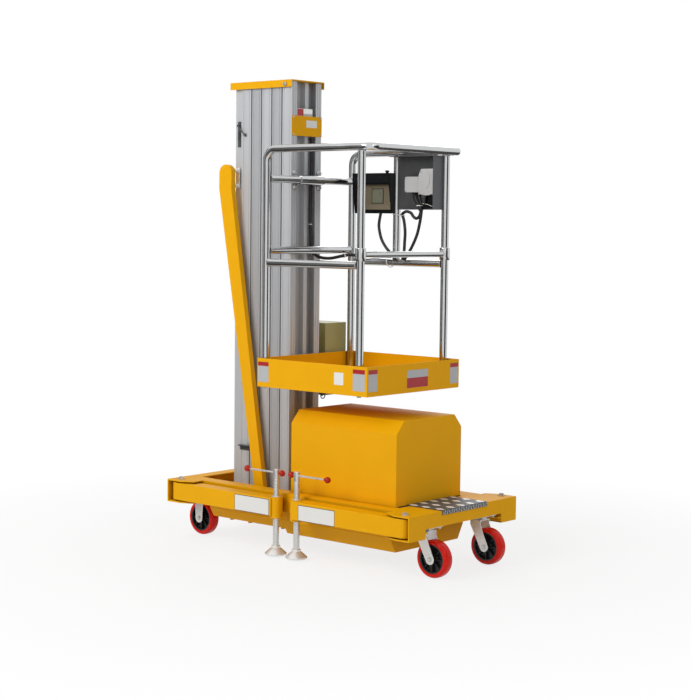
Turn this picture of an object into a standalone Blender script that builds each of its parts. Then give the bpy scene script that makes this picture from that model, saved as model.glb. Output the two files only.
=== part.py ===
"""Vertical mast lift: a push-around aluminium mast with a work platform, on a base with four outriggers.

Metres, +Z up. +X is the front, where the step and the swivel casters are, and +Y is the left side.
The origin is on the floor, under the middle of the machine's outline.
"""

from math import cos, pi, radians, sin, tan

import bmesh
import bpy
from mathutils import Matrix, Vector

# Fits between pieces
SEAT = 0.0003  # between pieces that touch
SLIDE = 0.0006  # each side of a sliding or turning fit
CLEAR = 0.006  # between pieces that pass each other
LAP = 0.0005  # step between the faces of two plates where one is welded to the other

# Base frame of folded plate, measured from its middle
BASE_HALF_LENGTH = 0.680
BASE_HALF_WIDTH = 0.355
FRAME_TOP = 0.262
PLATE = 0.006
BEAM_LOW = FRAME_TOP - 0.060  # underside of the end beams between their brackets
BRACKET_LOW = FRAME_TOP - 0.099  # underside of the outrigger brackets
BRACKET_INNER = BASE_HALF_WIDTH - 0.105  # inner web of the outrigger brackets
BRACKET_REACH = 0.080  # straight side of a bracket plate
BRACKET_TIP = 0.140  # bracket plate at its inner edge
BEAM_FOOT = 0.125  # lower flange that carries the casters
FRONT_DECK = 0.168  # upper flange of the front beam
REAR_DECK = 0.062  # upper flange of the rear beam
SIDE_BEAM_OUTER = BASE_HALF_WIDTH - 0.083
SIDE_BEAM_INNER = SIDE_BEAM_OUTER - 0.066
SIDE_BEAM_LOW = FRAME_TOP - 0.080
SIDE_BEAM_FOOT = SIDE_BEAM_OUTER - 0.038  # inner edge of the lower flange

# Outriggers, which swing on vertical pins at the corners
PIN_X = BASE_HALF_LENGTH - 0.050
PIN_Y = BASE_HALF_WIDTH - 0.037
PIN_RADIUS = 0.010
PIN_HEAD_RADIUS = 0.015
PIN_HEAD = 0.007
JACK_X = 0.058  # each jack from the middle of the side
ARM_LENGTH = PIN_X - JACK_X
ARM_HALF_WIDTH = 0.035
ARM_CLEARANCE = 0.0055  # to the bracket plates
BOSS_RADIUS = 0.027
BOSS_DROP = 0.010  # how far the boss reaches below the arm

# Levelling jacks
JACK_RADIUS = 0.0125
JACK_TOP = FRAME_TOP + 0.108
FOOT_RADIUS = 0.046
FOOT_FLOOR_GAP = 0.010
FOOT_RIM = 0.008
FOOT_HEIGHT = 0.036
BAR_RADIUS = 0.004
BAR_HEIGHT = JACK_TOP - 0.017
BAR_LONG = 0.168
BAR_SHORT = 0.032
KNOB_RADIUS = 0.0135

# Casters
WHEEL_RADIUS = 0.076
WHEEL_WIDTH = 0.046
TREAD_DEPTH = 0.0175
AXLE_RADIUS = 0.006
CASTER_Y = BRACKET_INNER - 0.072
SWIVEL_X = BASE_HALF_LENGTH - 0.055
TRAIL = 0.044  # swivel axis to front axle
REAR_AXLE_X = 0.049 - BASE_HALF_LENGTH
LEG_THICKNESS = 0.004
CASTER_PLATE = 0.005
CASTER_PLATE_HALF_X = 0.050
CASTER_PLATE_HALF_Y = 0.044
CASTER_PLATE_LOW = BEAM_LOW - CASTER_PLATE
CROWN_RADIUS = 0.030
BRIDGE_TOP = BEAM_LOW - 0.018
BRIDGE_THICKNESS = 0.006
BRIDGE_HALF = 0.026

# Mast of nested extrusions, stacked from rear to front
MAST_SECTIONS = 5
MAST_FRONT = 0.482 - BASE_HALF_LENGTH
MAST_PITCH = 0.060
MAST_HALF_WIDTH = 0.0945
MAST_WALL = 0.006
MAST_SLOT_HALF = MAST_HALF_WIDTH - 0.0345
TONGUE_HEAD_HALF = MAST_SLOT_HALF + 0.016
TONGUE_HEAD = 0.008
CHANNEL_RIB_LOW = 0.011  # rib in the foremost channel, beside the cable
CHANNEL_RIB_HIGH = 0.033
RIB_SETBACK = 0.020
CABLE_Y = 0.046
CABLE_SETBACK = 0.010
MAST_BACK_DEPTH = 0.0435
MAST_BACK_HALF = MAST_HALF_WIDTH - 0.0065
MAST_BACK = MAST_FRONT - MAST_SECTIONS * MAST_PITCH + CLEAR - MAST_BACK_DEPTH
MAST_TOP = 1.990
CAP_PLATE = 0.005
CAP_FLANGE = 0.026
CAP_FLANGE_PLATE = 0.003
CAP_REAR = MAST_BACK - 0.0205
CAP_FRONT = MAST_FRONT + 0.008
CAP_BOSS_RADIUS = 0.009
SECTION_TOP_GAP = 0.007  # rear sections to the cap
BOARD_HIGH = MAST_TOP - 0.150
BOARD_LOW = BOARD_HIGH - 0.085
BOARD_THICKNESS = 0.002
MAST_FLOOR_TOP = FRAME_TOP - 0.064
MAST_FLOOR_REAR = MAST_BACK - 0.0645
MAST_FLOOR_FRONT = MAST_FRONT + 0.098

# Belly pan and power housing
PAN_WALL = 0.003
PAN_REAR = MAST_BACK + 0.0055
PAN_STEP = MAST_FLOOR_FRONT
PAN_FRONT = BASE_HALF_LENGTH - 0.188
PAN_LOW = SIDE_BEAM_LOW - 0.104
PAN_LOW_REAR = PAN_LOW + 0.022
PAN_CHAMFER_TOP = PAN_LOW + 0.062
PAN_HALF_WIDTH = SIDE_BEAM_OUTER - 0.032
PAN_HALF_FLOOR = PAN_HALF_WIDTH - 0.035
COVER_REAR = MAST_FRONT + 0.124
COVER_FRONT = BASE_HALF_LENGTH - 0.184
COVER_HALF_WIDTH = SIDE_BEAM_INNER + 0.006
COVER_HALF_TOP = COVER_HALF_WIDTH - 0.047
COVER_TOP = FRAME_TOP + 0.342
COVER_SHOULDER = COVER_TOP - 0.053
COVER_WALL = 0.003
UNIT_HALF_WIDTH = COVER_HALF_WIDTH - 0.062
UNIT_REAR = COVER_REAR + 0.094
UNIT_FRONT = COVER_FRONT - 0.076
UNIT_TOP = COVER_TOP - 0.124
STEP_HALF_WIDTH = CASTER_Y - 0.030
STEP_THICKNESS = 0.003
STEP_LIP = 0.019

# Struts from the frame to the mast's rear edge
STRUT_Y = MAST_HALF_WIDTH + 0.0355
STRUT_THICKNESS = 0.026
STRUT_TOP_X = MAST_BACK - 0.0095
STRUT_TOP_WIDTH = 0.076
STRUT_TOP = MAST_TOP - 0.354
STRUT_BEND = STRUT_TOP - 0.106
STRUT_FOOT_X = MAST_BACK + 0.2135
STRUT_FOOT_WIDTH = 0.055
STRUT_BOLTS = (STRUT_TOP - 0.026, STRUT_TOP - 0.091)
STRUT_BOLT_X = MAST_BACK + 0.0225
STRUT_BOLT_RADIUS = 0.009

# Platform tray
FLOOR_TOP = 0.739
FLOOR_THICKNESS = 0.004
TRAY_REAR = MAST_FRONT + 0.007
TRAY_FRONT = TRAY_REAR + 0.6035
TRAY_HALF_WIDTH = 0.299
TRAY_LOW = FLOOR_TOP - 0.038
TRAY_HIGH = FLOOR_TOP + 0.082
TRAY_WALL = 0.003
RIB_DEPTH = 0.026
RIB_HALF = 0.003
RIB_Y = 0.16

# Cabinet outside the left strut
CABINET_WIDTH = 0.140
CABINET_LOW = FLOOR_TOP - 0.109
CABINET_HIGH = CABINET_LOW + 0.318
CABINET_REAR = STRUT_FOOT_X - 0.118
CABINET_FRONT = CABINET_REAR + 0.234

# Guard rails of round tube
TUBE_RADIUS = 0.016
REAR_POST_X = TRAY_REAR + 0.021
FRONT_POST_X = TRAY_FRONT - 0.0645
POST_Y = TRAY_HALF_WIDTH - 0.027
RAIL_Z = FLOOR_TOP + 0.951
FRONT_BAR_X = FRONT_POST_X + 0.049
FRONT_BAR_END = POST_Y + 0.014
HOOP_BEND = 0.050
CORNER_BEND = 0.042
REAR_RAIL_HIGH = RAIL_Z - 0.122
REAR_RAIL_LOW = FLOOR_TOP + 0.531
SIDE_RAIL_Z = FLOOR_TOP + 0.481
MID_POST_X = REAR_POST_X + 0.255

# Sliding gate bar
GATE_RADIUS = 0.0125
COLLAR_RADIUS = TUBE_RADIUS + 0.0055
COLLAR_HEIGHT = 0.052

# Mast bracket on the upper rear rail
BRACKET_HALF = MAST_HALF_WIDTH - 0.0045
BRACKET_HEIGHT = 0.088
LUG_INNER = MAST_SLOT_HALF + 0.003
SLEEVE_HALF = BRACKET_HALF - 0.015
SLEEVE_RADIUS = TUBE_RADIUS + 0.004

# Controls on the left rail, all on its inside
RAIL_INSIDE = POST_Y - TUBE_RADIUS
BOX_REAR = REAR_POST_X + 0.043
BOX_FRONT = MID_POST_X - 0.002
BOX_DEPTH = 0.034
BOX_DEPTH_LOW = 0.015  # the front slopes back towards its lower edge
BOX_HIGH = RAIL_Z - 0.087
BOX_LOW = BOX_HIGH - 0.173
SHEET = 0.003
SHEET_HIGH = RAIL_Z + 0.010
ENCLOSURE_REAR = MID_POST_X + 0.020
ENCLOSURE_FRONT = FRONT_POST_X - 0.002
ENCLOSURE_DEPTH = 0.066
ENCLOSURE_HIGH = RAIL_Z - 0.018
ENCLOSURE_LOW = ENCLOSURE_HIGH - 0.225
SMALL_BOX_LENGTH = 0.0835
LARGE_BOX_LENGTH = 0.0785
SMALL_BOX_DROP = 0.0975  # its bottom below the large box's top
CABLE_RADIUS = 0.0055
LEAD_RADIUS = 0.004
LEAD_DROP = 0.100  # how far the leads hang below the boxes

# The outline's middle, which the origin stands under
FRONT_AXLE_X = SWIVEL_X + TRAIL
OUTLINE_MIDDLE = (FRONT_AXLE_X + REAR_AXLE_X) / 2

TUBE_SIDES = 14
SIDES = (("right", -1), ("left", 1))
ENDS = (("rear", -1), ("front", 1))

COLOURS = {
    "yellow_paint": ((0.85, 0.45, 0.01), 0.35, 0.0),
    "mast_aluminium": ((0.55, 0.56, 0.58), 0.40, 0.9),
    "stainless": ((0.75, 0.75, 0.76), 0.18, 1.0),
    "zinc": ((0.72, 0.74, 0.76), 0.35, 0.8),
    "red_tread": ((0.68, 0.02, 0.01), 0.35, 0.0),
    "hub_black": ((0.02, 0.02, 0.022), 0.45, 0.0),
    "checker_plate": ((0.72, 0.73, 0.75), 0.30, 1.0),
    "cabinet_paint": ((0.42, 0.40, 0.18), 0.45, 0.0),
    "box_black": ((0.015, 0.016, 0.018), 0.40, 0.0),
    "grey_sheet": ((0.24, 0.25, 0.27), 0.45, 0.3),
    "junction_grey": ((0.58, 0.60, 0.62), 0.50, 0.0),
    "cable_black": ((0.012, 0.012, 0.013), 0.50, 0.0),
    "unit_grey": ((0.10, 0.11, 0.12), 0.55, 0.2),
}


def material(name):
    """The Principled material called name, made once."""
    if name in bpy.data.materials:
        return bpy.data.materials[name]
    colour, roughness, metallic = COLOURS[name]
    made = bpy.data.materials.new(name)
    made.use_nodes = True
    shader = made.node_tree.nodes["Principled BSDF"]
    shader.inputs["Base Color"].default_value = (*colour, 1.0)
    shader.inputs["Roughness"].default_value = roughness
    shader.inputs["Metallic"].default_value = metallic
    return made


def mesh_object(name, shape):
    """A linked object that holds the bmesh shape."""
    bmesh.ops.recalc_face_normals(shape, faces=shape.faces)
    mesh = bpy.data.meshes.new(name)
    shape.to_mesh(mesh)
    shape.free()
    made = bpy.data.objects.new(name, mesh)
    bpy.context.collection.objects.link(made)
    return made


def box(low, high):
    """A box between two corners."""
    shape = bmesh.new()
    bmesh.ops.create_cube(shape, size=1.0)
    size = Vector(high) - Vector(low)
    bmesh.ops.scale(shape, vec=size, verts=shape.verts)
    bmesh.ops.translate(shape, vec=(Vector(high) + Vector(low)) / 2, verts=shape.verts)
    return mesh_object("box", shape)


def prism(outline, along, start, end):
    """A flat outline pushed from start to end along an axis.

    The outline's two numbers are (y, z) along x, (x, z) along y and (x, y) along z.
    """
    place = {
        "x": lambda a, b, c: (c, a, b),
        "y": lambda a, b, c: (a, c, b),
        "z": lambda a, b, c: (a, b, c),
    }[along]
    shape = bmesh.new()
    face = shape.faces.new([shape.verts.new(place(a, b, start)) for a, b in outline])
    pushed = bmesh.ops.extrude_face_region(shape, geom=[face])
    moved = [item for item in pushed["geom"] if isinstance(item, bmesh.types.BMVert)]
    bmesh.ops.translate(shape, vec=place(0.0, 0.0, end - start), verts=moved)
    return mesh_object("prism", shape)


def rod(start, end, radius, sides=TUBE_SIDES):
    """A round bar between two points."""
    start, end = Vector(start), Vector(end)
    line = end - start
    shape = bmesh.new()
    bmesh.ops.create_cone(
        shape, cap_ends=True, segments=sides, radius1=radius, radius2=radius, depth=line.length
    )
    turn = Vector((0, 0, 1)).rotation_difference(line).to_matrix().to_4x4()
    bmesh.ops.transform(shape, matrix=Matrix.Translation((start + end) / 2) @ turn, verts=shape.verts)
    return mesh_object("rod", shape)


def turned(profile, centre, axis, sides):
    """A profile of (radius, height) points turned round an axis, "y" or "z", through centre."""
    shape = bmesh.new()
    rings = []
    for radius, height in profile:
        if radius == 0.0:
            rings.append([shape.verts.new((0.0, 0.0, height))])
            continue
        angles = [2 * pi * step / sides for step in range(sides)]
        rings.append([shape.verts.new((radius * cos(a), radius * sin(a), height)) for a in angles])
    closed = profile[0][0] != 0.0
    pairs = list(zip(rings, rings[1:])) + ([(rings[-1], rings[0])] if closed else [])
    for lower, upper in pairs:
        for step in range(sides):
            after = (step + 1) % sides
            corners = [
                lower[step % len(lower)],
                lower[after % len(lower)],
                upper[after % len(upper)],
                upper[step % len(upper)],
            ]
            shape.faces.new(list(dict.fromkeys(corners)))
    if axis == "y":
        bmesh.ops.rotate(shape, matrix=Matrix.Rotation(-pi / 2, 3, "X"), verts=shape.verts)
    bmesh.ops.translate(shape, vec=centre, verts=shape.verts)
    return mesh_object("turned", shape)


def ball(centre, radius, sides=12):
    """A round knob."""
    shape = bmesh.new()
    bmesh.ops.create_uvsphere(shape, u_segments=sides, v_segments=sides // 2 + 1, radius=radius)
    bmesh.ops.translate(shape, vec=centre, verts=shape.verts)
    return mesh_object("ball", shape)


def bent_path(corners, bend, steps=5):
    """The corner points of a tube's route, with an arc of radius bend at each inner corner."""
    points = [Vector(corners[0])]
    for before, corner, after in zip(corners, corners[1:], corners[2:]):
        corner = Vector(corner)
        back = (Vector(before) - corner).normalized()
        ahead = (Vector(after) - corner).normalized()
        half = back.angle(ahead) / 2
        reach = bend / tan(half)
        centre = corner + (back + ahead).normalized() * (bend / sin(half))
        start = (corner + back * reach - centre).normalized()
        end = (corner + ahead * reach - centre).normalized()
        for step in range(steps + 1):
            points.append(centre + start.slerp(end, step / steps) * bend)
    points.append(Vector(corners[-1]))
    return points


def tube(points, radius, resolution=4):
    """A round tube along points, made as a bevelled curve with filled ends."""
    curve = bpy.data.curves.new("tube", "CURVE")
    curve.dimensions = "3D"
    curve.bevel_depth = radius
    curve.bevel_resolution = resolution
    curve.use_fill_caps = True
    spline = curve.splines.new("POLY")
    spline.points.add(len(points) - 1)
    for target, point in zip(spline.points, points):
        target.co = (*point, 1.0)
    guide = bpy.data.objects.new("tube", curve)
    bpy.context.collection.objects.link(guide)
    return frozen(guide)


def frozen(source):
    """The object as a plain mesh, with its modifiers done."""
    bpy.context.view_layer.update()
    graph = bpy.context.evaluated_depsgraph_get()
    mesh = bpy.data.meshes.new_from_object(source.evaluated_get(graph))
    mesh.transform(source.matrix_world)
    made = bpy.data.objects.new(source.name, mesh)
    bpy.context.collection.objects.link(made)
    shape = bmesh.new()
    shape.from_mesh(mesh)
    bmesh.ops.remove_doubles(shape, verts=shape.verts, dist=0.00001)
    bmesh.ops.recalc_face_normals(shape, faces=shape.faces)
    shape.to_mesh(mesh)
    shape.free()
    bpy.data.objects.remove(source)
    return made


def combined(base, others, operation):
    """The base with each of the others joined to it or cut from it."""
    for other in others:
        step = base.modifiers.new("step", "BOOLEAN")
        step.operation = operation
        step.solver = "EXACT"
        step.object = other
    done = frozen(base)
    for other in others:
        bpy.data.objects.remove(other)
    return done


def welded(pieces):
    """One solid of pieces that overlap."""
    return combined(pieces[0], pieces[1:], "UNION")


def cut(base, cutters):
    """The base with the cutters taken away."""
    return combined(base, cutters, "DIFFERENCE")


def node(name, made, finish, origin=(0.0, 0.0, 0.0)):
    """Names a piece, gives it its material, and puts its origin on its joint."""
    made.name = name
    made.data.name = name
    made.data.transform(Matrix.Translation(-Vector(origin)))
    made.location = origin
    made.data.materials.clear()
    made.data.materials.append(material(finish))
    made.data.shade_smooth()
    made.data.set_sharp_from_angle(angle=radians(30))
    made.parent = MACHINE
    return made


def arc(centre, radius, start, end, steps):
    """Points on an arc from start to end, in degrees."""
    turns = [radians(start + (end - start) * step / steps) for step in range(steps + 1)]
    return [(centre[0] + radius * cos(turn), centre[1] + radius * sin(turn)) for turn in turns]


def mirrored(half):
    """A plan outline from the points of its +Y half."""
    return half + [(x, -y) for x, y in reversed(half)]


def mirrored_end_view(half):
    """An end view outline, of (y, z) points, from its +Y half."""
    return half + [(-y, z) for y, z in reversed(half)]


def plan(points, face, end):
    """A plan outline from (distance behind the beam's face, y) pairs of its +Y half."""
    half = [(face - end * back, y) for back, y in points]
    return mirrored(half)


def end_beam(end, deck):
    """The pieces of one end beam: wall, flanges and the brackets of its two outriggers."""
    face = end * BASE_HALF_LENGTH
    wide = BASE_HALF_WIDTH
    wall = [(BRACKET_INNER, BEAM_LOW), (BRACKET_INNER, BRACKET_LOW), (wide, BRACKET_LOW), (wide, FRAME_TOP)]
    wall = mirrored_end_view(wall)
    edge = wide - LAP
    bracket = [(LAP, edge), (BRACKET_REACH, edge), (BRACKET_TIP, edge - 0.030), (BRACKET_TIP, SIDE_BEAM_INNER)]
    top = plan(bracket + [(deck, SIDE_BEAM_INNER)], face, end)
    web_middle = BRACKET_INNER + PLATE / 2
    foot = plan([(LAP, web_middle), (BEAM_FOOT, web_middle)], face, end)
    pieces = [
        prism(wall, "x", face - end * PLATE, face),
        prism(top, "z", FRAME_TOP - LAP - PLATE, FRAME_TOP - LAP),
        prism(foot, "z", BEAM_LOW + LAP, BEAM_LOW + LAP + PLATE),
    ]
    ends = sorted((face - end * (BEAM_FOOT + LAP), face - end * PLATE / 2))
    for _, side in SIDES:
        plate = [(face - end * back, side * y) for back, y in bracket[:-1]]
        plate += [(face - end * back, side * web_middle) for back in (BRACKET_TIP, LAP)]
        web = sorted((side * BRACKET_INNER, side * (BRACKET_INNER + PLATE)))
        lift = BRACKET_LOW + LAP
        pieces += [
            prism(plate, "z", lift, lift + PLATE),
            box((ends[0], web[0], lift + LAP), (ends[1], web[1], FRAME_TOP - PLATE / 2)),
        ]
    return pieces


def pivot_pin(end, side):
    """One outrigger's pivot bolt, fast in its bracket, with the washer that the arm rests on."""
    washer = BRACKET_LOW + PLATE + ARM_CLEARANCE - SEAT
    profile = [
        (0.0, BRACKET_LOW - PIN_HEAD),
        (PIN_HEAD_RADIUS, BRACKET_LOW - PIN_HEAD),
        (PIN_HEAD_RADIUS, washer),
        (PIN_RADIUS, washer),
        (PIN_RADIUS, FRAME_TOP - PLATE / 2),
        (PIN_HEAD_RADIUS, FRAME_TOP - PLATE / 2),
        (PIN_HEAD_RADIUS, FRAME_TOP + PIN_HEAD),
        (0.0, FRAME_TOP + PIN_HEAD),
    ]
    return turned(profile, (end * PIN_X, side * PIN_Y, 0.0), "z", TUBE_SIDES)


def base_frame():
    """End beams, side beams, pivot bolts, caster plates and the floor that carries the mast."""
    pieces = end_beam(1, FRONT_DECK) + end_beam(-1, REAR_DECK)
    reach = BASE_HALF_LENGTH - PLATE / 2
    top = FRAME_TOP - 2 * LAP
    for _, side in SIDES:
        outer = side * SIDE_BEAM_OUTER
        inner = side * (SIDE_BEAM_INNER + LAP)
        web = outer - side * PLATE
        channel = [
            (outer, SIDE_BEAM_LOW),
            (outer, top),
            (inner, top),
            (inner, top - PLATE),
            (web, top - PLATE),
            (web, SIDE_BEAM_LOW + PLATE),
            (side * SIDE_BEAM_FOOT, SIDE_BEAM_LOW + PLATE),
            (side * SIDE_BEAM_FOOT, SIDE_BEAM_LOW),
        ]
        pieces.append(prism(channel, "x", -reach, reach))
    floor_half = SIDE_BEAM_OUTER - PLATE / 2
    pieces.append(
        box(
            (MAST_FLOOR_REAR, -floor_half, MAST_FLOOR_TOP - PLATE),
            (MAST_FLOOR_FRONT, floor_half, MAST_FLOOR_TOP),
        )
    )
    pieces += [pivot_pin(end, side) for _, end in ENDS for _, side in SIDES]
    for _, side in SIDES:
        middle = side * CASTER_Y
        low = (SWIVEL_X - CASTER_PLATE_HALF_X, middle - CASTER_PLATE_HALF_Y, CASTER_PLATE_LOW)
        high = (SWIVEL_X + CASTER_PLATE_HALF_X, middle + CASTER_PLATE_HALF_Y, BEAM_LOW + 2 * LAP)
        pieces.append(box(low, high))
    node("base_frame", welded(pieces), "yellow_paint")


def belly_pan():
    """Open-topped pan of folded sheet, deep under the power unit and shallow under the mast."""
    top = SIDE_BEAM_LOW - SEAT

    def solid(wall, lid):
        outline = [
            (-PAN_HALF_FLOOR + wall, PAN_LOW + wall),
            (PAN_HALF_FLOOR - wall, PAN_LOW + wall),
            (PAN_HALF_WIDTH - wall, PAN_CHAMFER_TOP),
            (PAN_HALF_WIDTH - wall, lid),
            (-PAN_HALF_WIDTH + wall, lid),
            (-PAN_HALF_WIDTH + wall, PAN_CHAMFER_TOP),
        ]
        body = prism(outline, "x", PAN_REAR + wall, PAN_FRONT - wall)
        low = (PAN_REAR - 0.02, -PAN_HALF_WIDTH, 0.0)
        return cut(body, [box(low, (PAN_STEP + wall, PAN_HALF_WIDTH, PAN_LOW_REAR + wall))])

    outer = solid(0.0, top)
    node("belly_pan", cut(outer, [solid(PAN_WALL, top + 0.02)]), "yellow_paint")


def power_housing():
    """Folded cover with sloped shoulders, and the battery and pump block that it hides."""

    def outline(wall, low):
        return [
            (COVER_HALF_WIDTH - wall, low),
            (COVER_HALF_WIDTH - wall, COVER_SHOULDER - wall / 2),
            (COVER_HALF_TOP - wall / 2, COVER_TOP - wall),
            (-COVER_HALF_TOP + wall / 2, COVER_TOP - wall),
            (-COVER_HALF_WIDTH + wall, COVER_SHOULDER - wall / 2),
            (-COVER_HALF_WIDTH + wall, low),
        ]

    low = FRAME_TOP - 2 * LAP + SEAT
    outer = prism(outline(0.0, low), "x", COVER_REAR, COVER_FRONT)
    inner_ends = (COVER_REAR + COVER_WALL, COVER_FRONT - COVER_WALL)
    inner = prism(outline(COVER_WALL, low - 0.02), "x", *inner_ends)
    node("power_cover", cut(outer, [inner]), "yellow_paint")
    unit_low = PAN_LOW + PAN_WALL + SEAT
    unit = box((UNIT_REAR, -UNIT_HALF_WIDTH, unit_low), (UNIT_FRONT, UNIT_HALF_WIDTH, UNIT_TOP))
    node("power_unit", unit, "unit_grey")


def step_plate():
    """Checker plate on the front beam, with its front edge folded down."""
    low = FRAME_TOP + SEAT
    top = low + STEP_THICKNESS
    rear = COVER_FRONT + 0.002
    face = BASE_HALF_LENGTH + SEAT
    outline = [
        (rear, low),
        (rear, top),
        (face + STEP_THICKNESS, top),
        (face + STEP_THICKNESS, top - STEP_LIP),
        (face, top - STEP_LIP),
        (face, low),
    ]
    node("step_plate", prism(outline, "y", -STEP_HALF_WIDTH, STEP_HALF_WIDTH), "checker_plate")


def section_front(index):
    """Where the front face of mast section index (1 is the fixed one at the rear) lies."""
    return MAST_FRONT - (MAST_SECTIONS - index) * MAST_PITCH


def section_outline(index):
    """Plan of one mast extrusion: a channel open to the front, with the tongue that runs in the one behind."""
    front = section_front(index)
    depth = MAST_PITCH - CLEAR
    rear = front - depth
    half = MAST_HALF_WIDTH
    channel = [
        (rear, half),
        (front, half),
        (front, MAST_SLOT_HALF),
        (front - MAST_WALL, MAST_SLOT_HALF),
        (front - MAST_WALL, half - MAST_WALL),
        (rear + MAST_WALL, half - MAST_WALL),
    ]
    if index == 1:
        return mirrored([(MAST_BACK, MAST_BACK_HALF), (rear, MAST_BACK_HALF)] + channel)
    head_front = rear - CLEAR - MAST_WALL - SLIDE
    head_rear = head_front - TONGUE_HEAD
    neck_half = MAST_SLOT_HALF - SLIDE
    tongue = [
        (head_rear, TONGUE_HEAD_HALF),
        (head_front, TONGUE_HEAD_HALF),
        (head_front, neck_half),
        (rear, neck_half),
    ]
    if index < MAST_SECTIONS:
        return mirrored(tongue + channel)
    rib_front = front - RIB_SETBACK
    rib = [
        (rear + MAST_WALL, CHANNEL_RIB_HIGH),
        (rib_front, CHANNEL_RIB_HIGH),
        (rib_front, CHANNEL_RIB_LOW),
        (rear + MAST_WALL, CHANNEL_RIB_LOW),
    ]
    half = tongue + channel
    return half + rib + mirrored(half)[len(half) :]


def mast():
    """The extrusions, the cap on the foremost one and its blank board."""
    cap_low = MAST_TOP - CAP_PLATE
    for index in range(1, MAST_SECTIONS + 1):
        low = MAST_FLOOR_TOP + (SEAT if index == 1 else CLEAR)
        high = cap_low - (SEAT if index == MAST_SECTIONS else SECTION_TOP_GAP)
        made = prism(section_outline(index), "z", low, high)
        origin = (section_front(index), 0.0, low)
        node(f"mast_section_{index}", made, "mast_aluminium", origin)
    side_gap = MAST_HALF_WIDTH + CLEAR
    outer = side_gap + CAP_FLANGE_PLATE
    half = [(outer, MAST_TOP), (outer, cap_low - CAP_FLANGE), (side_gap, cap_low - CAP_FLANGE)]
    half += [(side_gap, cap_low)]
    pieces = [prism(mirrored_end_view(half), "x", CAP_REAR, CAP_FRONT)]
    boss_x = MAST_FRONT - 0.028
    boss_z = cap_low - CAP_FLANGE / 2
    for _, side in SIDES:
        start = (boss_x, side * (MAST_HALF_WIDTH + SEAT), boss_z)
        end = (boss_x, side * (side_gap + CAP_FLANGE_PLATE + 0.005), boss_z)
        pieces.append(rod(start, end, CAP_BOSS_RADIUS, 10))
    node("mast_cap", welded(pieces), "yellow_paint", (MAST_FRONT, 0.0, cap_low))
    face = MAST_FRONT + SEAT
    board = box((face, -MAST_HALF_WIDTH, BOARD_LOW), (face + BOARD_THICKNESS, MAST_HALF_WIDTH, BOARD_HIGH))
    node("name_board", board, "yellow_paint", (MAST_FRONT, 0.0, BOARD_LOW))


def struts():
    """A cranked flat strut each side, from the mast floor to the rear edge of the fixed section."""
    top_half = STRUT_TOP_WIDTH / 2
    foot_half = STRUT_FOOT_WIDTH / 2
    foot = MAST_FLOOR_TOP + SEAT
    crown = STRUT_TOP - top_half
    outline = [(STRUT_FOOT_X - foot_half, foot), (STRUT_FOOT_X + foot_half, foot)]
    outline += [(STRUT_TOP_X + top_half, STRUT_BEND)]
    outline += arc((STRUT_TOP_X, crown), top_half, 0, 180, 8)
    outline += [(STRUT_TOP_X - top_half, STRUT_BEND)]
    for name, side in SIDES:
        inner = side * (STRUT_Y - STRUT_THICKNESS / 2)
        outer = side * (STRUT_Y + STRUT_THICKNESS / 2)
        pieces = [prism(outline, "y", inner, outer)]
        for height in STRUT_BOLTS:
            start = (STRUT_BOLT_X, side * (MAST_BACK_HALF + SEAT), height)
            end = (STRUT_BOLT_X, side * (STRUT_Y + STRUT_THICKNESS / 2 + 0.006), height)
            pieces.append(rod(start, end, STRUT_BOLT_RADIUS, 10))
        node(f"strut_{name}", welded(pieces), "yellow_paint")


def cabinet():
    """Closed cabinet against the outer face of the left strut."""
    inner = STRUT_Y + STRUT_THICKNESS / 2 + SEAT
    made = box((CABINET_REAR, inner, CABINET_LOW), (CABINET_FRONT, inner + CABINET_WIDTH, CABINET_HIGH))
    node("cabinet", made, "cabinet_paint")


def outrigger(end_name, end, side_name, side):
    """One folded outrigger arm with its jack and the jack's handle knobs."""
    pin = Vector((end * PIN_X, side * PIN_Y, 0.0))
    low = BRACKET_LOW + PLATE + ARM_CLEARANCE
    high = FRAME_TOP - PLATE - ARM_CLEARANCE
    jack_x = end * JACK_X
    jack = Vector((jack_x, side * PIN_Y, 0.0))
    first = 90 if end > 0 else 270
    outline = [(jack_x, jack.y + end * -ARM_HALF_WIDTH), (pin.x, pin.y + end * -ARM_HALF_WIDTH)]
    outline += arc((pin.x, pin.y), ARM_HALF_WIDTH, first - 180 + 20, first - 20, 8)
    outline += [(pin.x, pin.y + end * ARM_HALF_WIDTH), (jack_x, jack.y + end * ARM_HALF_WIDTH)]
    boss = rod((jack.x, jack.y, low - BOSS_DROP), (jack.x, jack.y, high + 0.002), BOSS_RADIUS, 20)
    arm = welded([prism(outline, "z", low, high), boss])
    holes = [
        rod((pin.x, pin.y, low - 0.02), (pin.x, pin.y, high + 0.02), PIN_RADIUS + SLIDE),
        rod((jack.x, jack.y, low - 0.02), (jack.x, jack.y, high + 0.02), JACK_RADIUS + SLIDE, 20),
    ]
    label = f"{end_name}_{side_name}"
    pivot = (pin.x, pin.y, low)
    node(f"outrigger_arm_{label}", cut(arm, holes), "yellow_paint", pivot)

    foot_low = FOOT_FLOOR_GAP
    profile = [
        (0.0, foot_low),
        (FOOT_RADIUS, foot_low),
        (FOOT_RADIUS, foot_low + FOOT_RIM),
        (JACK_RADIUS + 0.006, foot_low + FOOT_HEIGHT),
        (JACK_RADIUS, foot_low + FOOT_HEIGHT + 0.003),
        (JACK_RADIUS, JACK_TOP),
        (0.0, JACK_TOP),
    ]
    screw = turned(profile, (jack.x, jack.y, 0.0), "z", 20)
    ends = (jack.x + end * BAR_LONG, jack.x - end * BAR_SHORT)
    bar = rod((ends[0], jack.y, BAR_HEIGHT), (ends[1], jack.y, BAR_HEIGHT), BAR_RADIUS, 10)
    knobs = [ball((x, jack.y, BAR_HEIGHT), KNOB_RADIUS) for x in ends]
    node(f"jack_{label}", welded([screw, bar] + knobs), "zinc", (jack.x, jack.y, BAR_HEIGHT))


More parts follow.
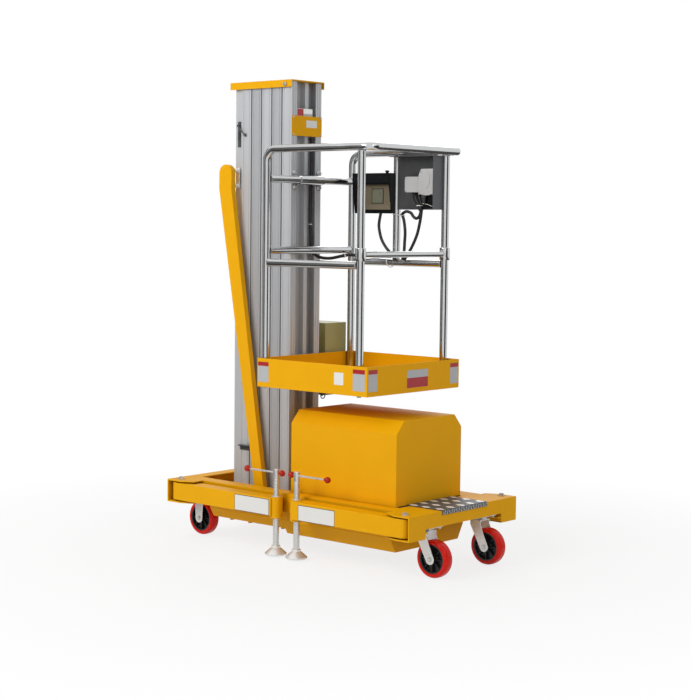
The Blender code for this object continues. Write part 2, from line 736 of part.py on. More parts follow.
def fork_leg(axle_x, head_x, y_inner, y_outer):
    """One leg of a caster fork, from its bridge down to the axle."""
    tip = 0.015
    wide = BRIDGE_HALF - LAP
    top = BRIDGE_TOP - LAP
    outline = [(head_x - wide, top), (head_x - wide, top - 0.018)]
    outline += arc((axle_x, WHEEL_RADIUS), tip, 180, 360, 8)
    outline += [(head_x + wide, top - 0.018), (head_x + wide, top)]
    return prism(outline, "y", y_inner, y_outer)


def fork(name, side, axle_x, head_x, crown_top, origin):
    """A caster fork: crown, bridge, two legs and the axle."""
    middle = side * CASTER_Y
    inner = WHEEL_WIDTH / 2 + CLEAR
    outer = inner + LEG_THICKNESS
    reach = outer - LAP
    pieces = [
        box(
            (head_x - BRIDGE_HALF, middle - reach, BRIDGE_TOP - BRIDGE_THICKNESS),
            (head_x + BRIDGE_HALF, middle + reach, BRIDGE_TOP),
        ),
        rod((head_x, middle, BRIDGE_TOP - 0.003), (head_x, middle, crown_top), CROWN_RADIUS, 20),
        fork_leg(axle_x, head_x, middle - outer, middle - inner),
        fork_leg(axle_x, head_x, middle + inner, middle + outer),
        rod(
            (axle_x, middle - outer - 0.005, WHEEL_RADIUS),
            (axle_x, middle + outer + 0.005, WHEEL_RADIUS),
            AXLE_RADIUS,
        ),
    ]
    node(name, welded(pieces), "zinc", origin)


def wheel(label, side, axle_x):
    """Ribbed hub and the moulded tread round it."""
    centre = (axle_x, side * CASTER_Y, WHEEL_RADIUS)
    rim = WHEEL_RADIUS - TREAD_DEPTH - SEAT
    half = WHEEL_WIDTH / 2
    rim_half = half - 0.003
    boss = 0.017
    boss_half = half + 0.004
    web = 0.004
    profile = [
        (AXLE_RADIUS + SEAT, -boss_half),
        (boss, -boss_half),
        (boss, -web),
        (rim - 0.006, -web),
        (rim - 0.006, -rim_half),
        (rim, -rim_half),
        (rim, rim_half),
        (rim - 0.006, rim_half),
        (rim - 0.006, web),
        (boss, web),
        (boss, boss_half),
        (AXLE_RADIUS + SEAT, boss_half),
    ]
    hub = turned(profile, centre, "y", 24)
    ribs = []
    for step in range(3):
        blade = box((-rim + 0.003, -rim_half + 0.004, -0.002), (-boss + 0.003, rim_half - 0.004, 0.002))
        other = box((boss - 0.003, -rim_half + 0.004, -0.002), (rim - 0.003, rim_half - 0.004, 0.002))
        for rib in (blade, other):
            turn = Matrix.Rotation(pi / 3 * step, 4, "Y")
            rib.data.transform(Matrix.Translation(centre) @ turn)
            ribs.append(rib)
    node(f"wheel_hub_{label}", welded([hub] + ribs), "hub_black", centre)
    inner = WHEEL_RADIUS - TREAD_DEPTH
    tread = [
        (inner, -half),
        (WHEEL_RADIUS - 0.010, -half),
        (WHEEL_RADIUS - 0.003, -half + 0.005),
        (WHEEL_RADIUS, -half + 0.013),
        (WHEEL_RADIUS, half - 0.013),
        (WHEEL_RADIUS - 0.003, half - 0.005),
        (WHEEL_RADIUS - 0.010, half),
        (inner, half),
    ]
    node(f"wheel_tread_{label}", turned(tread, centre, "y", 32), "red_tread", centre)


def casters():
    """Swivel casters at the front, fixed casters at the rear."""
    for name, side in SIDES:
        middle = side * CASTER_Y
        crown_top = CASTER_PLATE_LOW - SEAT
        origin = (SWIVEL_X, middle, BRIDGE_TOP)
        fork(f"caster_fork_front_{name}", side, FRONT_AXLE_X, SWIVEL_X, crown_top, origin)
        crown_top = BEAM_LOW + LAP - SEAT
        fork(f"caster_fork_rear_{name}", side, REAR_AXLE_X, REAR_AXLE_X, crown_top, (0.0, 0.0, 0.0))
        wheel(f"front_{name}", side, FRONT_AXLE_X)
        wheel(f"rear_{name}", side, REAR_AXLE_X)


def tray():
    """Platform floor with toe boards and ribs, and the pad that bolts it to the mast."""
    outer = box((TRAY_REAR, -TRAY_HALF_WIDTH, TRAY_LOW), (TRAY_FRONT, TRAY_HALF_WIDTH, TRAY_HIGH))
    inside_low = (TRAY_REAR + TRAY_WALL, -TRAY_HALF_WIDTH + TRAY_WALL)
    inside_high = (TRAY_FRONT - TRAY_WALL, TRAY_HALF_WIDTH - TRAY_WALL)
    above = box((*inside_low, FLOOR_TOP), (*inside_high, TRAY_HIGH + 0.02))
    below = box((*inside_low, TRAY_LOW - 0.02), (*inside_high, FLOOR_TOP - FLOOR_THICKNESS))
    shell = cut(outer, [above, below])
    ribs = []
    floor_low = FLOOR_TOP - FLOOR_THICKNESS
    for offset in (-RIB_Y, 0.0, RIB_Y):
        low = (TRAY_REAR + 0.001, offset - RIB_HALF, floor_low - RIB_DEPTH)
        ribs.append(box(low, (TRAY_FRONT - 0.001, offset + RIB_HALF, floor_low + 0.001)))
    origin = (MAST_FRONT, 0.0, TRAY_LOW)
    node("tray", welded([shell] + ribs), "yellow_paint", origin)
    pad = box(
        (MAST_FRONT + SEAT, -MAST_HALF_WIDTH, TRAY_LOW + 0.004),
        (TRAY_REAR - SEAT, MAST_HALF_WIDTH, TRAY_HIGH - 0.004),
    )
    node("tray_mount", pad, "zinc", origin)


def guard_rails():
    """Bent hoops, straight posts and the rails between them."""
    foot = FLOOR_TOP + SEAT
    origin = (MAST_FRONT, 0.0, TRAY_LOW)
    rail_middle = (MID_POST_X, -POST_Y, RAIL_Z)
    right = bent_path(
        [(REAR_POST_X, -POST_Y, foot), (REAR_POST_X, -POST_Y, RAIL_Z), rail_middle], HOOP_BEND
    )[:-1]
    corner = bent_path(
        [rail_middle, (FRONT_BAR_X, -POST_Y, RAIL_Z), (FRONT_BAR_X, FRONT_BAR_END, RAIL_Z)],
        CORNER_BEND,
    )[1:]
    node("cage_hoop_right", tube(right + corner, TUBE_RADIUS), "stainless", origin)
    rail_end = FRONT_BAR_X - TUBE_RADIUS - SEAT
    left = bent_path(
        [(REAR_POST_X, POST_Y, foot), (REAR_POST_X, POST_Y, RAIL_Z), (rail_end, POST_Y, RAIL_Z)], HOOP_BEND
    )
    node("cage_hoop_left", tube(left, TUBE_RADIUS), "stainless", origin)
    butt = TUBE_RADIUS + SEAT
    rails = {}
    for name, side in SIDES:
        y = side * POST_Y
        rails[f"cage_post_front_{name}"] = (
            (FRONT_POST_X, y, foot),
            (FRONT_POST_X, y, RAIL_Z - butt),
        )
        rails[f"cage_rail_{name}"] = (
            (REAR_POST_X + butt, y, SIDE_RAIL_Z),
            (FRONT_POST_X - butt, y, SIDE_RAIL_Z),
        )
    for name, height in (("high", REAR_RAIL_HIGH), ("low", REAR_RAIL_LOW)):
        rails[f"cage_rail_rear_{name}"] = (
            (REAR_POST_X, -POST_Y + butt, height),
            (REAR_POST_X, POST_Y - butt, height),
        )
    rails["cage_post_middle"] = (
        (MID_POST_X, POST_Y, SIDE_RAIL_Z + butt),
        (MID_POST_X, POST_Y, RAIL_Z - butt),
    )
    for name, (start, end) in rails.items():
        node(name, rod(start, end, TUBE_RADIUS), "stainless", origin)


def mast_bracket():
    """A lug on each of the mast's flanges, and the sleeve between them that grips the upper rear rail."""
    plate_rear = MAST_FRONT + SEAT
    plate_front = plate_rear + PLATE
    middle = (REAR_POST_X, REAR_RAIL_HIGH)
    half_height = BRACKET_HEIGHT / 2
    lugs = []
    for _, side in SIDES:
        y = sorted((side * LUG_INNER, side * BRACKET_HALF))
        low = (plate_rear, y[0], middle[1] - half_height)
        lugs.append(box(low, (plate_front, y[1], middle[1] + half_height)))
        y = sorted((side * (LUG_INNER + LAP), side * (SLEEVE_HALF - LAP)))
        low = (plate_front - 0.001, y[0], middle[1] - 0.008)
        lugs.append(box(low, (middle[0] - TUBE_RADIUS - 0.001, y[1], middle[1] + 0.008)))
    sleeve = rod((middle[0], -SLEEVE_HALF, middle[1]), (middle[0], SLEEVE_HALF, middle[1]), SLEEVE_RADIUS, 20)
    bore_ends = (SLEEVE_HALF + 0.02) * -1, SLEEVE_HALF + 0.02
    bore = rod(
        (middle[0], bore_ends[0], middle[1]), (middle[0], bore_ends[1], middle[1]), TUBE_RADIUS + SEAT, 20
    )
    made = cut(welded([sleeve] + lugs), [bore])
    node("mast_bracket", made, "zinc", (MAST_FRONT, 0.0, TRAY_LOW))


def gate_bar():
    """Cross bar that slides up the front posts on two collars and rests on the side rails."""
    low = SIDE_RAIL_Z + TUBE_RADIUS + SEAT
    high = low + COLLAR_HEIGHT
    middle = (low + high) / 2
    pieces = [
        rod(
            (FRONT_POST_X, -POST_Y + COLLAR_RADIUS - 0.002, middle),
            (FRONT_POST_X, POST_Y - COLLAR_RADIUS + 0.002, middle),
            GATE_RADIUS,
        )
    ]
    bore = TUBE_RADIUS + SLIDE
    ring = [(bore, low), (COLLAR_RADIUS, low), (COLLAR_RADIUS, high), (bore, high)]
    for _, side in SIDES:
        pieces.append(turned(ring, (FRONT_POST_X, side * POST_Y, 0.0), "z", 20))
    node("gate_bar", welded(pieces), "stainless", (FRONT_POST_X, 0.0, middle))


def controls():
    """Control box, sheet enclosure and junction boxes that hang inside the left rail."""
    origin = (MAST_FRONT, 0.0, TRAY_LOW)
    back_outer = RAIL_INSIDE - SEAT
    back_inner = back_outer - SHEET
    side_view = [
        (back_outer, BOX_LOW),
        (back_outer, BOX_HIGH),
        (back_outer - BOX_DEPTH, BOX_HIGH),
        (back_outer - BOX_DEPTH, BOX_HIGH - 0.040),
        (back_outer - BOX_DEPTH_LOW, BOX_LOW),
    ]
    body = prism(side_view, "x", BOX_REAR, BOX_FRONT)
    recess = box(
        (BOX_REAR + 0.040, back_outer - BOX_DEPTH - 0.01, BOX_LOW + 0.016),
        (BOX_FRONT - 0.006, back_outer - BOX_DEPTH_LOW + 0.006, BOX_HIGH - 0.048),
    )
    hanger_ends = (BOX_REAR + 0.004, BOX_REAR + 0.030)
    tab = box(
        (hanger_ends[0], back_inner, BOX_HIGH - 0.01), (hanger_ends[1], back_outer - LAP, SHEET_HIGH)
    )
    node("control_box", welded([cut(body, [recess]), tab]), "box_black", origin)
    shroud_inner = back_outer - ENCLOSURE_DEPTH
    shroud = box(
        (ENCLOSURE_REAR, shroud_inner, ENCLOSURE_LOW), (ENCLOSURE_FRONT, back_outer, ENCLOSURE_HIGH)
    )
    hollow = box(
        (ENCLOSURE_REAR - 0.02, shroud_inner - 0.02, ENCLOSURE_LOW - 0.02),
        (ENCLOSURE_FRONT - SHEET, back_inner, ENCLOSURE_HIGH - SHEET),
    )
    tab = box(
        (ENCLOSURE_REAR + 0.03, back_inner + LAP, ENCLOSURE_HIGH - 0.01),
        (ENCLOSURE_FRONT - 0.03, back_outer - LAP, SHEET_HIGH),
    )
    node("control_enclosure", welded([cut(shroud, [hollow]), tab]), "grey_sheet", origin)
    small_rear = ENCLOSURE_REAR + 0.076
    large_rear = small_rear + SMALL_BOX_LENGTH - 0.0015
    top = ENCLOSURE_HIGH - 0.055
    boxes = [
        box(
            (small_rear, back_inner - 0.048, top - SMALL_BOX_DROP),
            (small_rear + SMALL_BOX_LENGTH, back_inner - SEAT, top - 0.032),
        ),
        box(
            (large_rear, back_inner - 0.058, top - 0.111),
            (large_rear + LARGE_BOX_LENGTH, back_inner - SEAT - LAP, top),
        ),
    ]
    node("junction_boxes", welded(boxes), "junction_grey", origin)


def cables():
    """Main cable down the mast's channel to the left rail, and the leads up to the boxes."""
    origin = (MAST_FRONT, 0.0, TRAY_LOW)
    recess = MAST_FRONT - CABLE_SETBACK
    side = RAIL_INSIDE - CABLE_RADIUS - SEAT
    height = SIDE_RAIL_Z + SEAT
    gap_middle = (MAST_FRONT + REAR_POST_X - TUBE_RADIUS) / 2
    route = [
        (recess, CABLE_Y, BOARD_LOW - 0.005),
        (recess, CABLE_Y, REAR_RAIL_LOW - 0.005),
        (gap_middle + 0.022, CABLE_Y + 0.015, height - 0.002),
        (REAR_POST_X + 0.010, 0.120, height - 0.016),
        (REAR_POST_X + 0.025, side - 0.035, height - 0.004),
        (REAR_POST_X + 0.050, side, height),
        (MID_POST_X - 0.007, side, height),
    ]
    node("mast_cable", tube(bent_path(route, 0.015, 3), CABLE_RADIUS, 2), "cable_black", origin)
    rest = height + CABLE_RADIUS + LEAD_RADIUS + SEAT
    knot = MID_POST_X - 0.025
    box_exit = (BOX_FRONT - 0.066, RAIL_INSIDE - 0.009)
    plug = (ENCLOSURE_REAR + 0.142, side - 0.020)
    plug_top = ENCLOSURE_HIGH - 0.055 - SMALL_BOX_DROP - SEAT
    hang = BOX_LOW - LEAD_DROP
    lead = bent_path(
        [
            (*box_exit, BOX_LOW - SEAT),
            (box_exit[0], box_exit[1], hang),
            (knot - 0.012, side, rest + 0.020),
            (knot, side, rest),
            (knot + 0.070, side, rest),
            (knot + 0.110, side - 0.004, rest + 0.032),
            (*plug, hang + 0.030),
            (*plug, plug_top),
        ],
        0.008,
        3,
    )
    node("platform_leads", tube(lead, LEAD_RADIUS, 2), "cable_black", origin)


def build():
    """The whole machine."""
    base_frame()
    belly_pan()
    power_housing()
    step_plate()
    mast()
    struts()
    cabinet()
    for end_name, end in ENDS:
        for side_name, side in SIDES:
            outrigger(end_name, end, side_name, side)
    casters()
    tray()
    guard_rails()
    mast_bracket()
    gate_bar()
    controls()
    cables()


for leftover in list(bpy.data.objects):
    bpy.data.objects.remove(leftover)

MACHINE = bpy.data.objects.new("machine", None)
MACHINE.location = (-OUTLINE_MIDDLE, 0.0, 0.0)
bpy.context.collection.objects.link(MACHINE)
build()
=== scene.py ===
"""Looks of a push-around vertical mast lift: finishes, small parts, studio and camera.

Metres, +Z up, +X to the front, +Y to the left. Sizes are measured from the middle of the machine's base,
and SHIFT moves every mesh to the shared frame, whose zero is on the floor under the outline's middle.
"""

import logging
from collections.abc import Iterable, Mapping, Sequence
from dataclasses import dataclass
from enum import Enum
from itertools import product
from math import cos, pi, radians, sin, tan, tau
from typing import Any

import bmesh
import bpy
from mathutils import Euler, Matrix, Vector


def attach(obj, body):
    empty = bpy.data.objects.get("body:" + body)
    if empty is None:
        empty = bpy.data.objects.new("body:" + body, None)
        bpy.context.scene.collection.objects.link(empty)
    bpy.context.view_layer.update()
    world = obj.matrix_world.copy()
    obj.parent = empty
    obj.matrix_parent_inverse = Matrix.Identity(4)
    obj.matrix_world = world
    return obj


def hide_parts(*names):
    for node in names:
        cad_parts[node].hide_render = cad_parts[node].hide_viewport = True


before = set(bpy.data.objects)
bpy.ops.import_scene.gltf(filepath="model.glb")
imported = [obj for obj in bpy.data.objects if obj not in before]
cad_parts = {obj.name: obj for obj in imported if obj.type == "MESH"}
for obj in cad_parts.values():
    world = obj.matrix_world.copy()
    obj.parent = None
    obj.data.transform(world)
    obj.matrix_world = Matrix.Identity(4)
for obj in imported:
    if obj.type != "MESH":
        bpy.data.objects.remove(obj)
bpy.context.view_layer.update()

Point = Sequence[float]
Pair = tuple[float, float]

SHIFT = Vector((-0.019, 0.0, 0.0))
SIDES = (("right", -1), ("left", 1))
ENDS = (("rear", -1), ("front", 1))
MM = 0.001
LAP = 0.0003  # keeps faces that would lie in one plane apart
SHARP = radians(32)  # edges that turn more than this stay sharp, or are rounded
PIVOT = (0.630, 0.318)  # an outrigger's pin
CASTER_X = {1: 0.625, -1: -0.631}  # a caster's head, at the front and the rear
CASTER_Y = 0.178
POSTS = tuple(product((-0.170, 0.348), (-0.272, 0.272)))  # the cage's posts on the tray

logging.basicConfig(level=logging.INFO, format="%(message)s")
log = logging.getLogger("mast_lift")


def linear(colour: str) -> tuple[float, float, float, float]:
    """Turns an sRGB hex colour to linear light.

    Args:
        colour: six hex digits after a hash.

    Returns:
        Red, green, blue and a full alpha.
    """
    parts = [int(colour[i : i + 2], 16) / 255 for i in (1, 3, 5)]
    lit = [p / 12.92 if p <= 0.04045 else ((p + 0.055) / 1.055) ** 2.4 for p in parts]
    return (lit[0], lit[1], lit[2], 1.0)


def add_node(
    tree: bpy.types.NodeTree,
    kind: str,
    values: Mapping[Any, Any] | None = None,
    links: Mapping[Any, Any] | None = None,
    **settings: Any,
) -> bpy.types.Node:
    """Adds one node to a tree.

    Args:
        tree: the node tree.
        kind: the node's type name.
        values: fixed values by input name or number.
        links: what feeds each input: an output, a node for its first output, or a list of these.
        settings: attributes of the node itself.

    Returns:
        The node.
    """
    made = tree.nodes.new(kind)
    for name, value in settings.items():
        setattr(made, name, value)
    for key, value in (values or {}).items():
        made.inputs[key].default_value = value
    for key, feed in (links or {}).items():
        for source in feed if isinstance(feed, list) else [feed]:
            socket = source.outputs[0] if isinstance(source, bpy.types.Node) else source
            tree.links.new(socket, made.inputs[key])
    return made


def linked(name: str, data: Any) -> bpy.types.Object:
    """Puts an object in the scene.

    Args:
        name: the object's name.
        data: its mesh, light or camera.

    Returns:
        The object.
    """
    made = bpy.data.objects.new(name, data)
    bpy.context.scene.collection.objects.link(made)
    return made


class Axis(Enum):
    """An axis, as the order that turns a flat outline's two numbers and its reach to x, y and z."""

    X = (2, 0, 1)
    Y = (0, 2, 1)
    Z = (0, 1, 2)

    def point(self, first: float, second: float, reach: float) -> Vector:
        """Returns the point of an outline at a reach along the axis."""
        return Vector([(first, second, reach)[i] for i in self.value])


class Facing(Enum):
    """Which way a fixing's head looks, as its turn from upright."""

    UP = (0.0, 0.0, 0.0)
    DOWN = (pi, 0.0, 0.0)
    FORWARD = (0.0, pi / 2, 0.0)
    RIGHT = (pi / 2, 0.0, 0.0)
    LEFT = (-pi / 2, 0.0, 0.0)

    @classmethod
    def out(cls, side: int) -> "Facing":
        """Returns the way outwards on a side."""
        return cls.LEFT if side > 0 else cls.RIGHT


class Grain(Enum):
    """Which way a surface's fine relief is drawn out, as the scale along x, y and z."""

    EVEN = (1.0, 1.0, 1.0)
    UPRIGHT = (1.0, 1.0, 0.006)


@dataclass(frozen=True)
class Finish:
    """A surface, named for the real material and how it was made.

    drift is the slow change of colour, with its size in millimetres, and grain the fine relief. Grain under
    about a millimetre would not show, so it is drawn one to two millimetres coarse.
    """

    name: str
    colour: str
    roughness: float
    metallic: float = 0.0
    coat: float = 0.0
    ior: float = 1.5
    drift: float = 0.05
    drift_mm: float = 90.0
    grain_mm: float = 2.0
    grain_depth: float = 0.04
    rough_drift: float = 0.06
    grain: Grain = Grain.EVEN
    # painted shade: how much ambient occlusion darkens the colour in hollows and corners
    crevice_shade: float = 0.0
    level: float = 0.5

    def material(self) -> bpy.types.Material:
        """Makes the finish's material once.

        Returns:
            The material.
        """
        known = bpy.data.materials.get(self.name)
        if known:
            return known
        made = bpy.data.materials.new(self.name)
        made.use_nodes = True
        self.dress(made.node_tree)
        return made

    def dress(self, tree: bpy.types.NodeTree) -> None:
        """Builds the shader: colour drift, painted shade in crevices, roughness drift and fine relief.

        Args:
            tree: the material's node tree.
        """
        shader = tree.nodes["Principled BSDF"]
        fixed = {"Metallic": self.metallic, "IOR": self.ior, "Coat Weight": self.coat}
        fixed["Specular IOR Level"] = self.level
        for key, value in fixed.items():
            shader.inputs[key].default_value = value
        place = add_node(tree, "ShaderNodeTexCoord").outputs["Object"]
        drawn = add_node(tree, "ShaderNodeMapping", {"Scale": self.grain.value}, {"Vector": place})
        scales = ((self.drift_mm, 3.0), (self.grain_mm, 2.0))
        waves = [{"Scale": 1 / (size * MM), "Detail": detail} for size, detail in scales]
        wide, fine = (add_node(tree, "ShaderNodeTexNoise", wave, {"Vector": drawn}) for wave in waves)
        base = Vector(linear(self.colour)[:3])
        tones = [(*(base * (1 + sign * self.drift)), 1.0) for sign in (-1, 1)]
        mix = add_node(tree, "ShaderNodeMix", {6: tones[0], 7: tones[1]}, {0: wide}, data_type="RGBA")
        # painted shade: ambient occlusion darkens the base colour in hollows and corners
        if self.crevice_shade:
            near, colour, dark = {"Distance": 0.03}, mix.outputs[2], (*(base * (1 - self.crevice_shade)), 1.0)
            occlusion_shade = add_node(tree, "ShaderNodeAmbientOcclusion", near, {"Color": colour}, samples=4)
            feeds = {0: occlusion_shade.outputs["AO"], 7: colour}
            mix = add_node(tree, "ShaderNodeMix", {6: dark}, feeds, data_type="RGBA")
        tree.links.new(mix.outputs[2], shader.inputs["Base Color"])
        span = {"From Min": 0.3, "From Max": 0.7}
        span |= {"To Min": self.roughness - self.rough_drift, "To Max": self.roughness + self.rough_drift}
        rough = add_node(tree, "ShaderNodeMapRange", span, {"Value": wide})
        tree.links.new(rough.outputs["Result"], shader.inputs["Roughness"])
        depth = {"Strength": self.grain_depth, "Distance": self.grain_mm * MM}
        relief = add_node(tree, "ShaderNodeBump", depth, {"Height": fine})
        tree.links.new(relief.outputs["Normal"], shader.inputs["Normal"])


# Powder coat on steel: an even satin gloss with a faint orange peel, and painted shade in its hollows
YELLOW = Finish("powder_coat_yellow", "#F0AE00", 0.45, level=0.14, drift=0.03, crevice_shade=0.45)
# The fine lines that the die leaves along an extrusion: about 0.2 mm apart, drawn 1.2 mm apart to show
# These settings also paint shade into the extrusions' hollows and corners
DIE_LINES = {"grain_mm": 1.2, "grain_depth": 0.08, "grain": Grain.UPRIGHT, "crevice_shade": 0.15}
# Anodised aluminium extrusion: soft sheen, with die lines along its length
ALUMINIUM = Finish(
    "anodised_aluminium_extrusion", "#C6C8CB", 0.44, 0.25, drift=0.07, drift_mm=11, **DIE_LINES
)
# The same metal from another anodising bath: a shade duller
ALUMINIUM_DULL = Finish("anodised_aluminium_dull", "#B3B5B8", 0.46, 0.25, drift=0.08, drift_mm=9, **DIE_LINES)
# Stainless tube, drawn and polished: a clear mirror with a slight blur
STAINLESS = Finish("stainless_tube_polished", "#C8C9CA", 0.13, 1.0, drift=0.04, grain_depth=0.005)
# Zinc plate: pale, with a soft metallic bloom
ZINC = Finish("zinc_plated_steel", "#E8E8E6", 0.32, 0.55, drift=0.05, drift_mm=25, grain_depth=0.02)
# Turned and rolled steel under thin zinc: brighter edges and small patches of tone
SCREW_STEEL = Finish("zinc_plated_screw_steel", "#D2D3D1", 0.30, 0.7, drift=0.06, drift_mm=20)
# Cast polyurethane: deep red, smooth, with only a weak gloss
TYRE_RED = Finish("cast_polyurethane_red", "#DE1A08", 0.22, level=0.2, drift=0.06, drift_mm=30)
# Moulded nylon: black with a fine dull texture
HUB_BLACK = Finish("moulded_nylon_black", "#17171A", 0.42, drift=0.10, grain_mm=1.5, grain_depth=0.08)
# Moulded phenolic ball: dark red with a small clear highlight
KNOB_RED = Finish("phenolic_ball_red", "#B52410", 0.22, level=0.25, drift=0.05, drift_mm=10)
# Rolled tread plate, the low field: the same metal as the lozenges, drawn dark as painted shade, with an
# uneven tone
TREAD_SHADED_FIELD = Finish(
    "tread_plate_field_painted_shade", "#54575B", 0.50, 0.35, drift=0.18, drift_mm=18, grain_mm=1.2, grain_depth=0.15
)
# The plate's raised lozenges: the same metal, drawn pale and softly bright as a painted highlight
TREAD_HIGHLIGHT = Finish("tread_plate_lozenge_painted_highlight", "#F4F4F3", 0.36, 0.2, drift=0.03, drift_mm=10)
# Enamel on sheet steel: olive and smooth, with painted shade where the door meets the case
CABINET_PAINT = Finish("enamel_olive", "#A9A66C", 0.42, drift=0.05, crevice_shade=0.3)
# Moulded ABS: near black, with a fine spark texture that breaks the gloss
BOX_BLACK = Finish(
    "moulded_abs_black", "#0F1012", 0.36, level=0.15, drift=0.10, grain_mm=1.2, grain_depth=0.10
)
# Printed film on the panel: matt, warm and slightly uneven
PANEL = Finish("printed_panel_olive", "#6E624C", 0.50, drift=0.14, drift_mm=60)
# Acrylic over an unlit display: grey-green and smoother than the film round it
SCREEN = Finish("display_window_grey_green", "#70715F", 0.30, drift=0.08, drift_mm=60)
# Sheet steel under metallic grey paint: a broad cloudy sheen, with painted shade in its hollows
SHEET_GREY = Finish("painted_steel_sheet_grey", "#595A5C", 0.38, 0.45, drift=0.12, drift_mm=80, crevice_shade=0.4)
# Moulded polycarbonate: an even pale grey, with painted shade in the lids' seams
JUNCTION = Finish("moulded_polycarbonate_grey", "#BDBDBC", 0.45, drift=0.03, crevice_shade=0.3)
# PVC cable jacket: black rubbery satin
CABLE = Finish("pvc_cable_jacket_black", "#151517", 0.48, drift=0.10, grain_mm=1.0)
# Nylon in its natural colour: milky white
TIE_WHITE = Finish("nylon_tie_natural", "#E6E6E1", 0.45, drift=0.03)
# Steel under dark grey paint: plain and half matt
UNIT_GREY = Finish("painted_steel_dark_grey", "#3A3D40", 0.5, 0.2)
# Vinyl film under a clear laminate: flat colour with a thin gloss over it
VINYL_WHITE = Finish("vinyl_film_white", "#EAEAE6", 0.40, coat=0.2, drift=0.02)
VINYL_GREY = Finish("vinyl_film_grey", "#B9BBBD", 0.40, coat=0.2, drift=0.02)
VINYL_RED = Finish("vinyl_film_red", "#B01620", 0.40, coat=0.2, drift=0.03)
# The printed edge line of a film: dark and dull
VINYL_DARK = Finish("vinyl_film_dark_line", "#35312C", 0.45, drift=0.03)
# Matt card in the studio: only its tone shows, in polished tube
CARD_GREY = Finish("studio_card_grey", "#8C8C8A", 0.8, drift=0.02)

PLAIN_NODES: dict[str, Finish] = {"power_unit": UNIT_GREY}


class Film(Enum):
    """The colours of a label's printed layers."""

    WHITE = VINYL_WHITE
    GREY = VINYL_GREY
    RED = VINYL_RED
    DARK = VINYL_DARK


